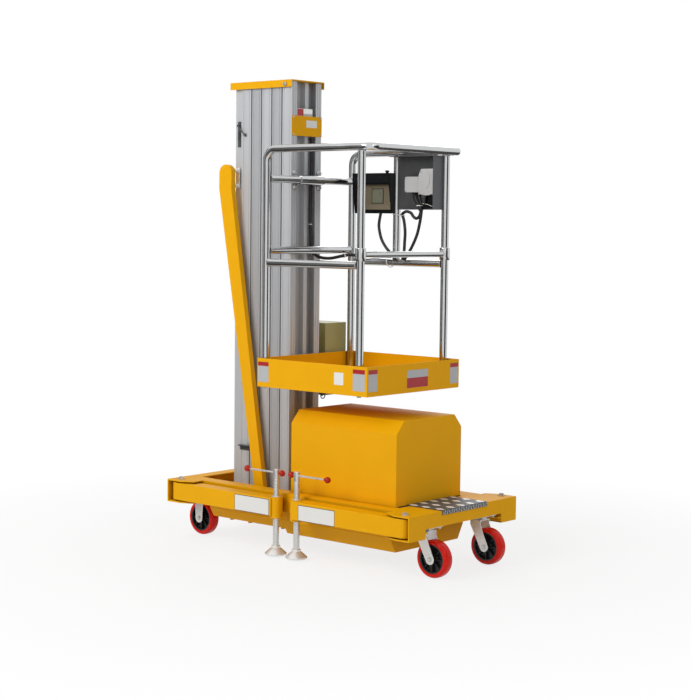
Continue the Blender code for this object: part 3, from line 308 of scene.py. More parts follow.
class Shape:
    """A mesh under construction, measured from the middle of the machine's base."""

    def __init__(self) -> None:
        """Starts an empty mesh."""
        self.mesh = bmesh.new()

    def box(self, low: Point, high: Point) -> "Shape":
        """Adds a box.

        Args:
            low: its lowest corner.
            high: its highest corner.

        Returns:
            The shape itself.
        """
        for vert in bmesh.ops.create_cube(self.mesh, size=1.0)["verts"]:
            vert.co = Vector([a + (c + 0.5) * (b - a) for a, b, c in zip(low, high, vert.co)])
        return self

    def prism(self, outline: Sequence[Pair], along: Axis, start: float, end: float) -> "Shape":
        """Adds a flat outline pushed along an axis.

        Args:
            outline: (y, z) along x, (x, z) along y or (x, y) along z.
            along: the axis.
            start: where the outline begins on that axis.
            end: where it ends.

        Returns:
            The shape itself.
        """
        rings = []
        for reach in (start, end):
            rings.append([self.mesh.verts.new(along.point(a, b, reach)) for a, b in outline])
            self.mesh.faces.new(rings[-1])
        self.bridge(*rings)
        return self

    def bridge(self, lower: Sequence[Any], upper: Sequence[Any]) -> None:
        """Joins two closed rings of vertices with faces.

        Args:
            lower: the first ring; one vertex is a pole.
            upper: the second ring, likewise.
        """
        count = max(len(lower), len(upper))
        for step in range(count):
            after = (step + 1) % count
            picks = ((lower, step), (lower, after), (upper, after), (upper, step))
            self.mesh.faces.new(list(dict.fromkeys(ring[index % len(ring)] for ring, index in picks)))

    def turned(
        self, profile: Sequence[Pair], centre: Point, axis: Axis = Axis.Z, sides: int = 40
    ) -> "Shape":
        """Adds a profile turned round an axis.

        Args:
            profile: (radius, height) points, from a pole or as a closed loop.
            centre: a point on the axis, at height zero.
            axis: the axis.
            sides: how many sides the round has.

        Returns:
            The shape itself.
        """
        rings = []
        for radius, height in profile:
            turns = [tau * step / sides for step in range(sides)] if radius else [0.0]
            ring = [axis.point(radius * cos(turn), radius * sin(turn), height) for turn in turns]
            rings.append([self.mesh.verts.new(spot + Vector(centre)) for spot in ring])
        for lower, upper in zip(rings, rings[1:]):
            self.bridge(lower, upper)
        if profile[0][0]:
            self.bridge(rings[-1], rings[0])
        return self

    def ball(self, centre: Point, radius: float) -> "Shape":
        """Adds a ball.

        Args:
            centre: its middle.
            radius: its radius.

        Returns:
            The shape itself.
        """
        steps = 12
        turns = [pi * step / steps - pi / 2 for step in range(steps + 1)]
        profile = [(radius * cos(turn), radius * sin(turn)) for turn in turns]
        profile[0] = (0.0, -radius)
        profile[-1] = (0.0, radius)
        return self.turned(profile, centre, sides=20)

    def tube(
        self, points: Iterable[Point], radius: float, sides: int = 20, swell: float = 0.0
    ) -> "Shape":
        """Adds a round tube along a path, with closed ends.

        Args:
            points: the path.
            radius: the tube's radius.
            sides: how many sides the round has.
            swell: how much wider every second ring is, as on a ribbed conduit.

        Returns:
            The shape itself.
        """
        path = [Vector(point) for point in points]
        ways = [(b - a).normalized() for a, b in zip(path, path[1:])]
        side = ways[0].orthogonal().normalized()
        rings = []
        for index, spot in enumerate(path):
            before = ways[max(index - 1, 0)]
            after = ways[min(index, len(ways) - 1)]
            way = (before + after).normalized()
            side = (side - way * side.dot(way)).normalized()
            other = way.cross(side)
            reach = radius / max(way.dot(after), 0.5)
            turns = [tau * step / sides for step in range(sides)]
            wide = radius + swell * (index % 2)
            ring = [spot + (side * cos(turn) + other * sin(turn)) * wide for turn in turns]
            if 0 < index < len(path) - 1 and before.angle(after) > 0.01:
                lean = (after - before).normalized()
                ring = [p + lean * (p - spot).dot(lean) * (reach / radius - 1) for p in ring]
            rings.append([self.mesh.verts.new(p) for p in ring])
        self.mesh.faces.new(rings[0])
        self.mesh.faces.new(rings[-1])
        for lower, upper in zip(rings, rings[1:]):
            self.bridge(lower, upper)
        return self

    def rod(self, start: Point, end: Point, radius: float, sides: int = 24) -> "Shape":
        """Adds a straight round bar."""
        return self.tube([start, end], radius, sides)

    def thing(self, name: str) -> bpy.types.Object:
        """Turns the shape into an object in the shared frame.

        Args:
            name: the object's name.

        Returns:
            The object, linked and not yet finished.
        """
        bmesh.ops.recalc_face_normals(self.mesh, faces=self.mesh.faces)
        bmesh.ops.translate(self.mesh, vec=SHIFT, verts=self.mesh.verts)
        data = bpy.data.meshes.new(name)
        self.mesh.to_mesh(data)
        self.mesh.free()
        return linked(name, data)

    def fit(self, name: str, *dress: Any, **more: Any) -> None:
        """Turns the shape into a piece that is dressed with what the function fit takes."""
        fit(self.thing(name), *dress, **more)


def fit(
    made: bpy.types.Object,
    finish: Finish,
    body: str,
    slot: str = "",
    replaces: Sequence[str] = (),
    bevel: float = 0.0,
    rings: int = 2,
) -> None:
    """slot: the record's material slot, where it has one; not used.
        replaces: the solids that it stands for.
        bevel: how far its sharp edges are rounded.
        rings: how many faces the rounding has.
    """
    made.data.materials.clear()
    made.data.materials.append(finish.material())
    made.data.shade_smooth()
    made.data.set_sharp_from_angle(angle=SHARP)
    if bevel:
        soft = made.modifiers.new("rounded", "BEVEL")
        soft.width = bevel
        soft.segments = rings
        soft.limit_method = "ANGLE"
        soft.angle_limit = SHARP
        soft.harden_normals = True
        soft.use_clamp_overlap = True
    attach(made, body)
    if replaces:
        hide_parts(*replaces)
    log.info("piece %s on %s", made.name, body)


def folded(
    node: str, name: str, finish: Finish, body: str, slot: str, bevel: float, rings: int = 2
) -> None:
    """Makes a piece from a solid, with its flat faces joined again so that its edges can be rounded.

    Args:
        node: the solid that it copies and stands for.
        name: the piece's name.
        finish: its surface.
        body: the body that it rides on.
        slot: the record's material slot.
        bevel: how far its sharp edges are rounded.
        rings: how many faces the rounding has.
    """
    shape = bmesh.new()
    shape.from_mesh(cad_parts[node].data)
    bmesh.ops.remove_doubles(shape, verts=shape.verts, dist=0.00001)
    bmesh.ops.dissolve_limit(shape, angle_limit=radians(0.6), verts=shape.verts, edges=shape.edges)
    data = bpy.data.meshes.new(name)
    shape.to_mesh(data)
    shape.free()
    fit(linked(name, data), finish, body, slot, [node], bevel, rings)


class Pattern:
    """A geometry node tree that repeats a small part on the points of a guide mesh."""

    def __init__(self, name: str, sizes: Mapping[str, float]) -> None:
        """Starts the tree.

        Args:
            name: the tree's name.
            sizes: its named inputs and their usual values, in metres or as counts.
        """
        self.tree = bpy.data.node_groups.new(name, "GeometryNodeTree")
        face = self.tree.interface
        face.new_socket("Geometry", in_out="INPUT", socket_type="NodeSocketGeometry")
        for label, value in sizes.items():
            socket = face.new_socket(label, in_out="INPUT", socket_type="NodeSocketFloat")
            socket.default_value = value
        face.new_socket("Finish", in_out="INPUT", socket_type="NodeSocketMaterial")
        face.new_socket("Geometry", in_out="OUTPUT", socket_type="NodeSocketGeometry")
        self.given = add_node(self.tree, "NodeGroupInput").outputs

    def size(self, *parts: Any) -> bpy.types.Node:
        """Joins three numbers or sockets to one vector.

        Args:
            parts: what x, y and z are.

        Returns:
            The node that gives the vector.
        """
        fixed = {i: part for i, part in enumerate(parts) if isinstance(part, float)}
        fed = {i: part for i, part in enumerate(parts) if not isinstance(part, float)}
        return add_node(self.tree, "ShaderNodeCombineXYZ", fixed, fed)

    def repeat(self, *parts: bpy.types.Node) -> "Pattern":
        """Puts the parts on each point, turned by the point's turn attribute, and closes the tree.

        Args:
            parts: the nodes that make them.

        Returns:
            The pattern itself.
        """
        part = add_node(self.tree, "GeometryNodeJoinGeometry", links={0: list(parts)})
        turn = add_node(
            self.tree, "GeometryNodeInputNamedAttribute", {"Name": "turn"}, data_type="FLOAT_VECTOR"
        )
        feeds = {"Points": self.given["Geometry"], "Instance": part, "Rotation": turn.outputs["Attribute"]}
        return self.close(add_node(self.tree, "GeometryNodeInstanceOnPoints", links=feeds))

    def close(self, geometry: bpy.types.Node) -> "Pattern":
        """Ends the tree in real mesh with its finish.

        Args:
            geometry: the node that makes the instances.

        Returns:
            The pattern itself.
        """
        real = add_node(self.tree, "GeometryNodeRealizeInstances", links={0: geometry})
        feeds = {0: real, "Material": self.given["Finish"]}
        done = add_node(self.tree, "GeometryNodeSetMaterial", links=feeds)
        add_node(self.tree, "NodeGroupOutput", links={0: done})
        return self

    def grow(
        self,
        name: str,
        guide: bpy.types.Object,
        finish: Finish,
        body: str,
        slot: str = "",
        **sizes: float,
    ) -> None:
        """Runs the tree on a guide and hands the mesh to the frame.

        Args:
            name: the piece's name.
            guide: the points or lines that the parts follow; it is removed.
            finish: the parts' surface.
            body: the body that they ride on.
            slot: the record's material slot, where they have one.
            sizes: values for the named inputs, with spaces written as underscores.
        """
        step = guide.modifiers.new("parts", "NODES")
        step.node_group = self.tree
        keys = {
            item.name: item.identifier
            for item in self.tree.interface.items_tree
            if item.item_type == "SOCKET" and item.in_out == "INPUT"
        }
        step[keys["Finish"]] = finish.material()
        for label, value in sizes.items():
            step[keys[label.replace("_", " ")]] = value
        bpy.context.view_layer.update()
        graph = bpy.context.evaluated_depsgraph_get()
        data = bpy.data.meshes.new_from_object(guide.evaluated_get(graph))
        data.name = name
        guide.modifiers.remove(step)
        bpy.data.objects.remove(guide)
        fit(linked(name, data), finish, body, slot)


def spots(places: Iterable[tuple[Point, Facing | Point]]) -> bpy.types.Object:
    """Makes a guide of loose points, each with the turn of the part that it carries.

    Args:
        places: position, and facing or turn, of each part.

    Returns:
        The guide object.
    """
    places = list(places)
    data = bpy.data.meshes.new("guide")
    data.from_pydata([Vector(spot) + SHIFT for spot, _ in places], [], [])
    turns = data.attributes.new("turn", "FLOAT_VECTOR", "POINT")
    for target, (_, turn) in zip(turns.data, places):
        target.vector = turn.value if isinstance(turn, Facing) else turn
    return linked("guide", data)


def lines(paths: Iterable[Sequence[Point]]) -> bpy.types.Object:
    """Makes a guide of open lines.

    Args:
        paths: the points of each line.

    Returns:
        The guide object.
    """
    points: list[Vector] = []
    edges: list[tuple[int, int]] = []
    for path in paths:
        first = len(points)
        points += [Vector(point) + SHIFT for point in path]
        edges += [(i, i + 1) for i in range(first, len(points) - 1)]
    data = bpy.data.meshes.new("guide")
    data.from_pydata(points, edges, [])
    return linked("guide", data)


def bolt_pattern() -> Pattern:
    """Makes hexagon heads on round washers, which stand on each point along its turned z axis.

    Returns:
        The pattern.
    """
    made = Pattern("hex_bolts", {"Head radius": 0.008, "Head height": 0.006, "Washer radius": 0.012})
    tree, given = made.tree, made.given
    radius = given["Head radius"]
    feeds = {"Radius Bottom": radius, "Radius Top": radius, "Depth": given["Head height"]}
    head = add_node(tree, "GeometryNodeMeshCone", {"Vertices": 6}, feeds)
    lifted = add_node(tree, "GeometryNodeTransform", {"Translation": (0, 0, 0.0015)}, {"Geometry": head})
    disc = {"Vertices": 20, "Depth": 0.003}
    washer = add_node(tree, "GeometryNodeMeshCylinder", disc, {"Radius": given["Washer radius"]})
    flat = add_node(tree, "GeometryNodeSetShadeSmooth", {"Shade Smooth": False}, {0: lifted})
    return made.repeat(washer, flat)


def lozenge_pattern() -> Pattern:
    """Makes raised diamonds with sloped flanks, as on rolled tread plate.

    Returns:
        The pattern.
    """
    made = Pattern("tread_lozenges", {"Length": 0.05, "Width": 0.03, "Height": 0.0015})
    form = {"Vertices": 4, "Radius Bottom": 0.5, "Radius Top": 0.36, "Depth": 1.0}
    flat = add_node(made.tree, "GeometryNodeMeshCone", form)
    scale = made.size(*(made.given[key] for key in ("Length", "Width", "Height")))
    return made.repeat(add_node(made.tree, "GeometryNodeTransform", links={"Geometry": flat, "Scale": scale}))


def tie_pattern() -> Pattern:
    """Makes flat nylon bands round cables, with a small lock block.

    Returns:
        The pattern.
    """
    made = Pattern("cable_ties", {"Loop radius": 0.008, "Band width": 0.004, "Band depth": 0.0012})
    tree, given = made.tree, made.given
    radius = given["Loop radius"]
    loop = add_node(
        tree, "GeometryNodeCurvePrimitiveCircle", {"Resolution": 28}, {"Radius": radius}, mode="RADIUS"
    )
    section = {"Width": given["Band depth"], "Height": given["Band width"]}
    band = add_node(tree, "GeometryNodeCurvePrimitiveQuadrilateral", links=section)
    swept = add_node(tree, "GeometryNodeCurveToMesh", links={"Curve": loop, "Profile Curve": band})
    block = add_node(tree, "GeometryNodeMeshCube", {"Size": (0.004, 0.004, 0.006)})
    feeds = {"Geometry": block, "Translation": made.size(radius, 0.0, 0.0)}
    return made.repeat(swept, add_node(tree, "GeometryNodeTransform", links=feeds))


def bead_pattern() -> Pattern:
    """Makes overlapping weld ripples along lines.

    Returns:
        The pattern.
    """
    made = Pattern("weld_ripples", {"Bead radius": 0.0024, "Spacing": 0.0022})
    tree, given = made.tree, made.given
    curve = add_node(tree, "GeometryNodeMeshToCurve", links={"Mesh": given["Geometry"]})
    feeds = {"Curve": curve, "Length": given["Spacing"]}
    even = add_node(tree, "GeometryNodeResampleCurve", links=feeds, mode="LENGTH")
    facets = {"Segments": 8, "Rings": 5}
    ripple = add_node(tree, "GeometryNodeMeshUVSphere", facets, {"Radius": given["Bead radius"]})
    spread = {"Min": 0.85, "Max": 1.15, "Seed": 7}
    vary = add_node(tree, "FunctionNodeRandomValue", spread, data_type="FLOAT")
    scale = next(output for output in vary.outputs if output.enabled)
    feeds = {"Points": even, "Instance": ripple, "Scale": scale}
    return made.close(add_node(tree, "GeometryNodeInstanceOnPoints", links=feeds))


def thread_pattern() -> Pattern:
    """Makes a helical ridge that rises from each point.

    Returns:
        The pattern.
    """
    made = Pattern("screw_thread", {"Radius": 0.0121, "Turns": 60.0, "Length": 0.24, "Ridge": 0.0011})
    tree, given = made.tree, made.given
    feeds = {"Rotations": given["Turns"], "Height": given["Length"]}
    feeds |= {"Start Radius": given["Radius"], "End Radius": given["Radius"]}
    helix = add_node(tree, "GeometryNodeCurveSpiral", {"Resolution": 14}, feeds)
    ridge = add_node(
        tree, "GeometryNodeCurvePrimitiveCircle", {"Resolution": 5}, {"Radius": given["Ridge"]}, mode="RADIUS"
    )
    feeds = {"Curve": helix, "Profile Curve": ridge}
    return made.repeat(add_node(tree, "GeometryNodeCurveToMesh", {"Fill Caps": True}, feeds))


def rib_pattern() -> Pattern:
    """Makes flat webs that stand out from an axis, as between a wheel's boss and rim.

    Returns:
        The pattern.
    """
    made = Pattern("hub_webs", {"Inner": 0.015, "Outer": 0.048, "Depth": 0.034, "Thickness": 0.003})
    tree, given = made.tree, made.given
    ends = {0: given["Outer"], 1: given["Inner"]}
    sums = ("SUBTRACT", "ADD")
    reach, total = (add_node(tree, "ShaderNodeMath", links=ends, operation=how) for how in sums)
    middle = add_node(tree, "ShaderNodeMath", {1: 0.5}, {0: total}, operation="MULTIPLY")
    form = made.size(reach, given["Depth"], given["Thickness"])
    web = add_node(tree, "GeometryNodeMeshCube", links={"Size": form})
    feeds = {"Geometry": web, "Translation": made.size(middle, 0.0, 0.0)}
    return made.repeat(add_node(tree, "GeometryNodeTransform", links=feeds))


def bolts(
    name: str,
    places: Iterable[tuple[Point, Facing | Point]],
    body: str,
    head: float,
    height: float,
    washer: float,
    slot: str = "",
) -> None:
    """Makes one piece of hexagon bolts or screws.

    Args:
        name: the piece's name.
        places: position and facing of each.
        body: the body that they ride on.
        head: the heads' radius.
        height: the heads' height.
        washer: the washers' radius.
        slot: the record's material slot, where they have one.
    """
    sizes = {"Head_radius": head, "Head_height": height, "Washer_radius": washer}
    BOLTS.grow(name, spots(places), SCREW_STEEL, body, slot, **sizes)


def arc(centre: Pair, radius: float, start: float, end: float, steps: int) -> list[Pair]:
    """Gives points on an arc.

    Args:
        centre: the arc's centre.
        radius: its radius.
        start: where it starts, in degrees.
        end: where it ends, in degrees.
        steps: how many chords it has.

    Returns:
        The points, both ends included.
    """
    turns = [radians(start + (end - start) * step / steps) for step in range(steps + 1)]
    return [(centre[0] + radius * cos(turn), centre[1] + radius * sin(turn)) for turn in turns]


def rounded(low: Pair, high: Pair, radius: float) -> list[Pair]:
    """Gives a rectangle's outline with round corners.

    Args:
        low: its lowest corner.
        high: its highest corner.
        radius: the corners' radius.

    Returns:
        The outline.
    """
    (a, b), (c, d) = low, high
    made = []
    for x, z, start in ((c, d, 0), (a, d, 90), (a, b, 180), (c, b, 270)):
        centre = (x - radius if x == c else x + radius, z - radius if z == d else z + radius)
        made += arc(centre, radius, start, start + 90, 5)
    return made


def mirrored(half: list[Pair], first: bool = False) -> list[Pair]:
    """Gives a whole outline from its +Y half; first says that y is each pair's first number."""
    other = [(-a, b) if first else (a, -b) for a, b in reversed(half)]
    return half + other


def bent_path(corners: Sequence[Point], bend: float, steps: int = 10) -> list[Vector]:
    """Gives the path of a bent tube.

    Args:
        corners: its ends and the corners between them.
        bend: the radius of the arc at each corner.
        steps: how many chords an arc has.

    Returns:
        The path's points.
    """
    points = [Vector(corners[0])]
    for before, corner, after in zip(corners, corners[1:], corners[2:]):
        middle = Vector(corner)
        back = (Vector(before) - middle).normalized()
        ahead = (Vector(after) - middle).normalized()
        half = back.angle(ahead) / 2
        centre = middle + (back + ahead).normalized() * (bend / sin(half))
        start = (middle + back * (bend / tan(half)) - centre).normalized()
        end = (middle + ahead * (bend / tan(half)) - centre).normalized()
        points += [centre + start.slerp(end, step / steps) * bend for step in range(steps + 1)]
    return points + [Vector(corners[-1])]


def flowing(points: Sequence[Point], steps: int = 6) -> list[Vector]:
    """Gives a smooth path through points, for a cable.

    Args:
        points: the points that it goes through.
        steps: how many chords lie between two of them.

    Returns:
        The path's points.
    """
    knots = [Vector(point) for point in points]
    ends = [knots[0] * 2 - knots[1]] + knots + [knots[-1] * 2 - knots[-2]]
    path = []
    for a, b, c, d in zip(ends, ends[1:], ends[2:], ends[3:]):
        for t in (step / steps for step in range(steps)):
            bow, sway = 2 * a - 5 * b + 4 * c - d, 3 * b - a - 3 * c + d
            path.append(0.5 * (2 * b + (c - a) * t + bow * t**2 + sway * t**3))
    return path + [knots[-1]]


def ring(centre: Point, radius: float, axis: Axis, steps: int = 24) -> list[Vector]:
    """Gives a closed loop of points round an axis through a centre."""
    turns = [tau * step / steps for step in range(steps + 1)]
    return [axis.point(radius * cos(turn), radius * sin(turn), 0.0) + Vector(centre) for turn in turns]


@dataclass(frozen=True)
class Label:
    """A blank film label on a flat face: an edge line, a field and a coloured head or foot.

    across runs along x on a side face and along y on a front face. A layer is its film and the share of the
    label's height that it begins and ends at.
    """

    across: Pair
    height: Pair
    face: float
    normal: tuple[Axis, int]
    layers: tuple[tuple[Film, float, float], ...]
    margin: float = 0.0

    def add_to(self, shape: Shape, film: Film) -> None:
        """Adds this label's plates of one colour to a shape.

        Args:
            shape: the shape.
            film: the colour.
        """
        for order, (layer, low, high) in enumerate(self.layers):
            if layer is not film:
                continue
            inset = self.margin if order else 0.0
            across = (self.across[0] + inset, self.across[1] - inset)
            tall = self.height[1] - self.height[0] - 2 * inset
            z = [self.height[0] + inset + tall * part for part in (low, high)]
            axis, way = self.normal
            depth = sorted((self.face + way * 0.00005, self.face + way * (0.0003 + 0.0002 * order)))
            x, y = (across, depth) if axis is Axis.Y else (depth, across)
            shape.box((x[0], y[0], z[0]), (x[1], y[1], z[1]))


def stick(labels: Sequence[Label], name: str, body: str) -> None:
    """Makes a set of labels as one piece for each colour.

    Args:
        labels: the labels.
        name: the start of the pieces' names.
        body: the body that they ride on.
    """
    for film in Film:
        if any(film is row[0] for label in labels for row in label.layers):
            shape = Shape()
            for label in labels:
                label.add_to(shape, film)
            shape.fit(f"{name}_{film.name.lower()}", film.value, body)


@dataclass
class BaseFrame:
    """Folded base frame with its pivots, caster plates and the floor that carries the mast.

    decks says, for the front (1) and the rear (-1), how far the end beam's top reaches inwards.
    """

    half_length: float = 0.680
    half_width: float = 0.355
    top: float = 0.262
    plate: float = 0.006
    beam_low: float = 0.202
    bracket_low: float = 0.163
    bracket_inner: float = 0.250
    rail_outer: float = 0.272
    rail_inner: float = 0.206
    rail_low: float = 0.182
    rail_lip: float = 0.038
    floor_top: float = 0.198
    floor_ends: Pair = (-0.600, -0.100)
    floor_half: float = 0.269
    cheek_reach: float = 0.140
    decks: tuple[tuple[int, float], ...] = ((1, 0.168), (-1, 0.062))
    pin: Pair = PIVOT

    def end_beam(self, shape: Shape, end: int, deck: float) -> None:
        """Adds an end beam: wall, decks and the brackets at its corners.

        Args:
            shape: the frame's shape.
            end: 1 at the front, -1 at the rear.
            deck: how far the beam's top reaches inwards.
        """
        face = end * self.half_length
        wide, web = self.half_width, self.bracket_inner
        wall = [(web, self.beam_low), (web, self.bracket_low), (wide, self.bracket_low), (wide, self.top)]
        shape.prism(mirrored(wall, True), Axis.X, face - end * self.plate, face)
        edge = wide - LAP
        reach = self.cheek_reach
        cheek = [(LAP, edge), (0.080, edge), (reach, edge - 0.030), (reach, self.rail_inner)]
        top = [(face - end * back, y) for back, y in cheek + [(deck, self.rail_inner)]]
        shape.prism(mirrored(top), Axis.Z, self.top - self.plate, self.top - LAP)
        foot = [(face - end * LAP, web), (face - end * 0.125, web)]
        shape.prism(mirrored(foot), Axis.Z, self.beam_low + LAP, self.beam_low + self.plate)
        low = self.bracket_low + LAP
        for _, side in SIDES:
            plan = [(face - end * back, side * y) for back, y in cheek[:-1]]
            plan += [(face - end * back, side * web) for back in (reach, LAP)]
            shape.prism(plan, Axis.Z, low, low + self.plate)
            rear, outer = face - end * 0.1255, side * (web + self.plate)
            shape.box((rear, side * web, low + LAP), (face - end * 0.003, outer, self.top - 0.003))

    def build(self) -> None:
        """Makes the frame and what is fixed to it."""
        shape = Shape()
        for end, deck in self.decks:
            self.end_beam(shape, end, deck)
        reach = self.half_length - self.plate / 2
        out, top, low, plate = self.rail_outer, self.top - 2 * LAP, self.rail_low, self.plate
        half = [(out, low), (out, top), (self.rail_inner + LAP, top), (self.rail_inner + LAP, top - plate)]
        half += [(out - plate, top - plate), (out - plate, low + plate)]
        half += [(out - self.rail_lip, low + plate), (out - self.rail_lip, low)]
        for _, side in SIDES:
            shape.prism([(side * y, z) for y, z in half], Axis.X, -reach, reach)
        (rear, front), wide = self.floor_ends, self.floor_half
        shape.box((rear, -wide, self.floor_top - plate), (front, wide, self.floor_top))
        for (_, end), (_, side) in product(ENDS, SIDES):
            x, y = end * self.pin[0], side * self.pin[1]
            shape.rod((x, y, self.bracket_low - LAP), (x, y, self.top), 0.010)
            shape.rod((x, y, 0.1685), (x, y, 0.1742), 0.015)
        shape.fit("base_frame_welded", YELLOW, "chassis", "yellow_paint", ["base_frame"], 0.0016)
        self.hardware()

    def hardware(self) -> None:
        """Makes the pivots' nuts, the caster plates and the weld seams."""
        corners = [(end, side) for (_, end), (_, side) in product(ENDS, SIDES)]
        pins = [(end * self.pin[0], side * self.pin[1], self.top + 0.001) for end, side in corners]
        bolts("pivot_nuts", [(spot, Facing.UP) for spot in pins], "chassis", 0.0105, 0.008, 0.0145)
        plates, screws, seams = Shape(), [], []
        for end, side in corners:
            x, y = CASTER_X[end], side * CASTER_Y
            high = self.beam_low + (0.0015 if end > 0 else 0.0002)
            plates.box((x - 0.050, y - 0.044, high - 0.0055), (x + 0.050, y + 0.044, high))
            for dx, dy in product((-0.040, 0.040), (-0.034, 0.034)):
                if abs(x + dx) < 0.668:
                    screws.append(((x + dx, y + dy, high - 0.0065), Facing.DOWN))
            x = end * (self.half_length - 0.1405)
            seams.append([(x, side * (self.rail_outer + 0.001), z) for z in (0.190, 0.254)])
            inner = end * (self.half_length - 0.0065)
            seams.append([(inner, side * y, 0.2085) for y in (0.02, 0.19)])
        plates.fit("caster_mounting_plates", ZINC, "chassis", bevel=0.0012)
        bolts("caster_plate_bolts", screws, "chassis", 0.006, 0.005, 0.0075)
        seams += [[(x, side * 0.266, self.floor_top + 0.001) for x in (-0.598, -0.102)] for _, side in SIDES]
        BEADS.grow("frame_welds", lines(seams), YELLOW, "chassis", Bead_radius=0.0026, Spacing=0.0026)


@dataclass
class PowerHousing:
    """Cover over the battery and pump, the pan below the frame and the step.

    The step's large lozenges stand in step_rows along x, step_pitch apart across, and the small ones of its
    lip are lip_count a row.
    """

    strips: tuple[float, ...] = (-0.440, -0.330, -0.135)
    step_rear: float = 0.498
    step_face: float = 0.6803
    step_half: float = 0.148
    step_top: float = 0.2653
    step_thick: float = 0.003
    lip: float = 0.019
    step_rows: tuple[float, ...] = (0.5235, 0.586, 0.6565)
    step_pitch: float = 0.066
    lip_count: int = 26

    def build(self) -> None:
        """Makes the cover, the pan and the step."""
        folded("power_cover", "power_cover_folded", YELLOW, "chassis", "yellow_paint", 0.0040, 3)
        folded("belly_pan", "belly_pan_folded", YELLOW, "chassis", "yellow_paint", 0.0016)
        strips = Shape()
        for x in self.strips:
            strips.box((x - 0.006, -0.200, 0.0905), (x + 0.006, 0.200, 0.1012))
        strips.fit("pan_cross_strips", YELLOW, "chassis", bevel=0.001)
        self.step()

    def step(self) -> None:
        """Makes the checker plate: field, large lozenges on top and small ones on the lip."""
        top, face, thick, half = self.step_top, self.step_face, self.step_thick, self.step_half
        low, lip = top - thick, top - self.lip
        outline = [(self.step_rear, low), (self.step_rear, top), (face + thick, top)]
        outline += [(face + thick, lip), (face, lip), (face, low)]
        field = Shape().prism(outline, Axis.Y, -half, half)
        field.fit("step_plate_folded", TREAD_SHADED_FIELD, "chassis", "checker_plate", ["step_plate"], 0.0014)
        # the lozenges carry a painted highlight, and the field below them a painted shade
        dress = (TREAD_HIGHLIGHT, "chassis", "checker_plate")
        rows = product(self.step_rows, range(-2, 3))
        places = [((x, self.step_pitch * row, top), Facing.UP) for x, row in rows]
        LOZENGES.grow("step_lozenges", spots(places), *dress, Length=0.048, Width=0.028, Height=0.0015)
        places = []
        for index, level in product(range(self.lip_count), (0, 1)):
            y = -half + 0.006 + index * (2 * half - 0.012) / (self.lip_count - 1)
            tilt = radians(45 if (index + level) % 2 else -45)
            places.append(((face + thick, y, top - 0.0065 - 0.0078 * level), (tilt, pi / 2, 0.0)))
        LOZENGES.grow("step_lip_lozenges", spots(places), *dress, Length=0.010, Width=0.0042, Height=0.0009)


